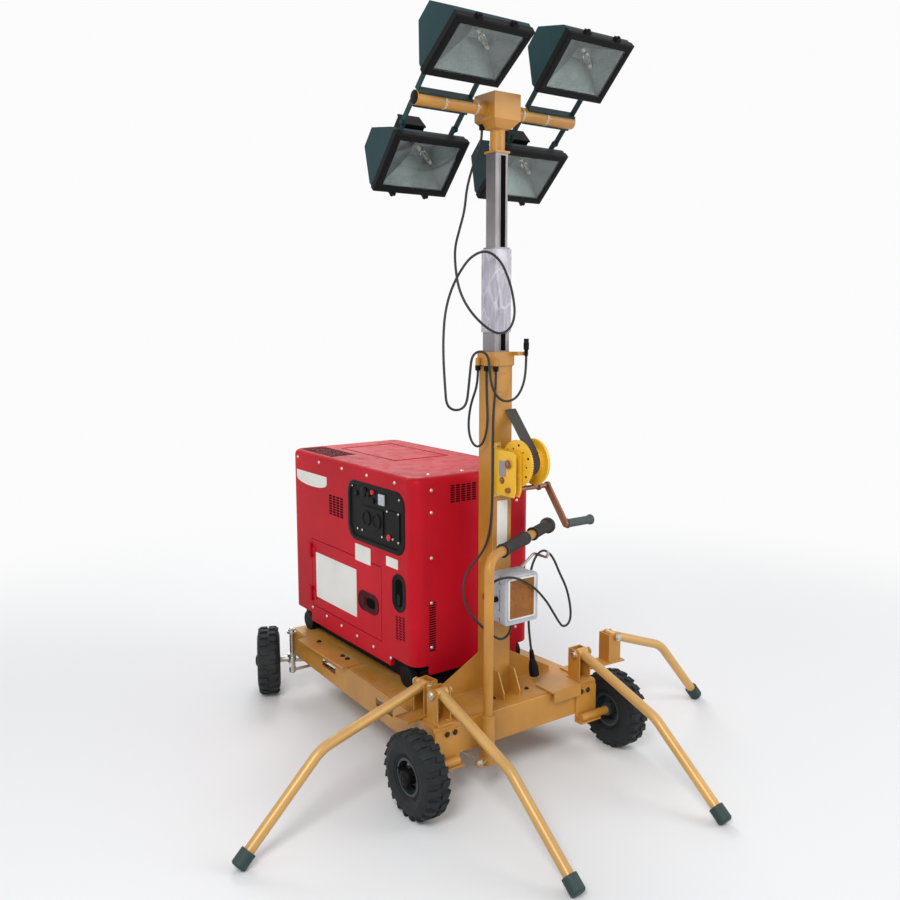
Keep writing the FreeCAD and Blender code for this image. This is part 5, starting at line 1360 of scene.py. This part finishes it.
def handle_details():
    """Moulded grips with flanges and ribs, and the round knob on the handle's end."""
    way = level(HANDLE_TURN)
    grips = Piece("grip_covers", grip_rubber)
    for start, end in ((0.105, 0.292), (0.365, 0.495)):
        profile = [(start - 0.0015, 0.0165), (start - 0.0015, 0.0228), (start + 0.002, 0.0238),
                   (start + 0.006, 0.0232), (start + 0.010, 0.0205)]
        count = int((end - start - 0.030) / RIB_PITCH)
        profile += ribs(start + 0.014, RIB_PITCH, count,
                        ((0, 0.0206), (0.0015, 0.0194), (0.0040, 0.0194), (0.0055, 0.0206)))
        profile += [(end - 0.008, 0.0205), (end - 0.005, 0.0228), (end, 0.0232),
                    (end + 0.0015, 0.0222), (end + 0.0015, 0.0165)]
        grips.lathe(HANDLE_CORNER, way, profile, 40)
    grips.lathe(HANDLE_CORNER, way, END_KNOB, 40)
    grips.done("tiller")


frame_details()
for wheel, (hub, outward) in wheel_places().items():
    wheel_details(wheel, hub, outward)
handle_details()


# Camera and light

EYE = Vector((-1.866, -2.538, 1.510))
EYE_TURN = 35.5        # degrees to the right of straight ahead
EYE_DIP = 8.2          # degrees below level
LENS = 36.84           # millimetres
SENSOR = 36.0          # millimetres
ROOM = (0.92, 0.96, 1.0, 1)
PAPER = (0.97, 0.97, 0.97, 1)
FLOOR_RADIUS = 9
FADE = (1.6, 4.0)      # metres from the tower between which the floor turns into paper
eye_data = bpy.data.cameras.new("view")
eye_data.lens = LENS
eye_data.sensor_width = SENSOR
eye = bpy.data.objects.new("view", eye_data)
bpy.context.collection.objects.link(eye)
eye.location = EYE
eye.rotation_euler = (math.radians(90 - EYE_DIP), 0, math.radians(-EYE_TURN))
bpy.context.scene.camera = eye


def lamp_for_scene(name, spot, aim, width, strength):
    """A round soft light of a width in metres and a strength in watts, aimed at a point."""
    light = bpy.data.lights.new(name, "AREA")
    light.shape = "DISK"
    light.size = width
    light.energy = strength
    holder = bpy.data.objects.new(name, light)
    bpy.context.collection.objects.link(holder)
    holder.location = spot
    holder.rotation_euler = (Vector(aim) - Vector(spot)).to_track_quat("-Z", "Y").to_euler()


lamp_for_scene("key_light", (-3.4, -3.0, 4.2), (0, 0, 0.9), 2.0, 150)
lamp_for_scene("fill_light", (3.2, -3.4, 2.4), (0, 0, 0.8), 2.6, 55)
lamp_for_scene("back_light", (1.5, 4.0, 3.6), (0, 0, 1.0), 2.4, 90)


def studio():
    """The world: an even room that lights the tower, with pale paper wherever it is seen itself."""
    sky = Finish("studio", bpy.data.worlds.new("studio"))
    shown = sky.node("LightPath", out="Is Camera Ray")
    for ray in ("Is Transmission Ray", "Is Glossy Ray"):
        shown = sky.node("Math", {"operation": "MAXIMUM"}, {0: shown, 1: sky.node("LightPath", out=ray)})
    room = sky.node("Background", {}, {"Color": ROOM, "Strength": 0.55})
    paper = sky.node("Background", {}, {"Color": PAPER, "Strength": 1.0})
    return sky.finished(sky.node("MixShader", {}, {0: shown, 1: room, 2: paper}), "World")


def floor_look():
    """Pale floor that keeps the shadow near the tower and fades into the backdrop."""
    finish = Finish("pale_floor")
    x, y, _ = finish.axes()
    away = (x * x + y * y) ** 0.5
    fade = away.between(*FADE)
    shader = finish.node("BsdfPrincipled", {}, {"Base Color": (0.86, 0.86, 0.86, 1), "Roughness": 0.8})
    far = finish.node("Emission", {}, {"Color": PAPER, "Strength": 1.0})
    return finish.finished(finish.node("MixShader", {}, {0: fade, 1: shader, 2: far}))


bpy.context.scene.world = studio()
bpy.ops.mesh.primitive_circle_add(vertices=96, radius=FLOOR_RADIUS, fill_type="NGON", location=(0, 0, 0))
floor = bpy.context.object
floor.name = "floor"
floor.data.materials.append(floor_look())

bpy.context.scene.view_settings.view_transform = "Standard"
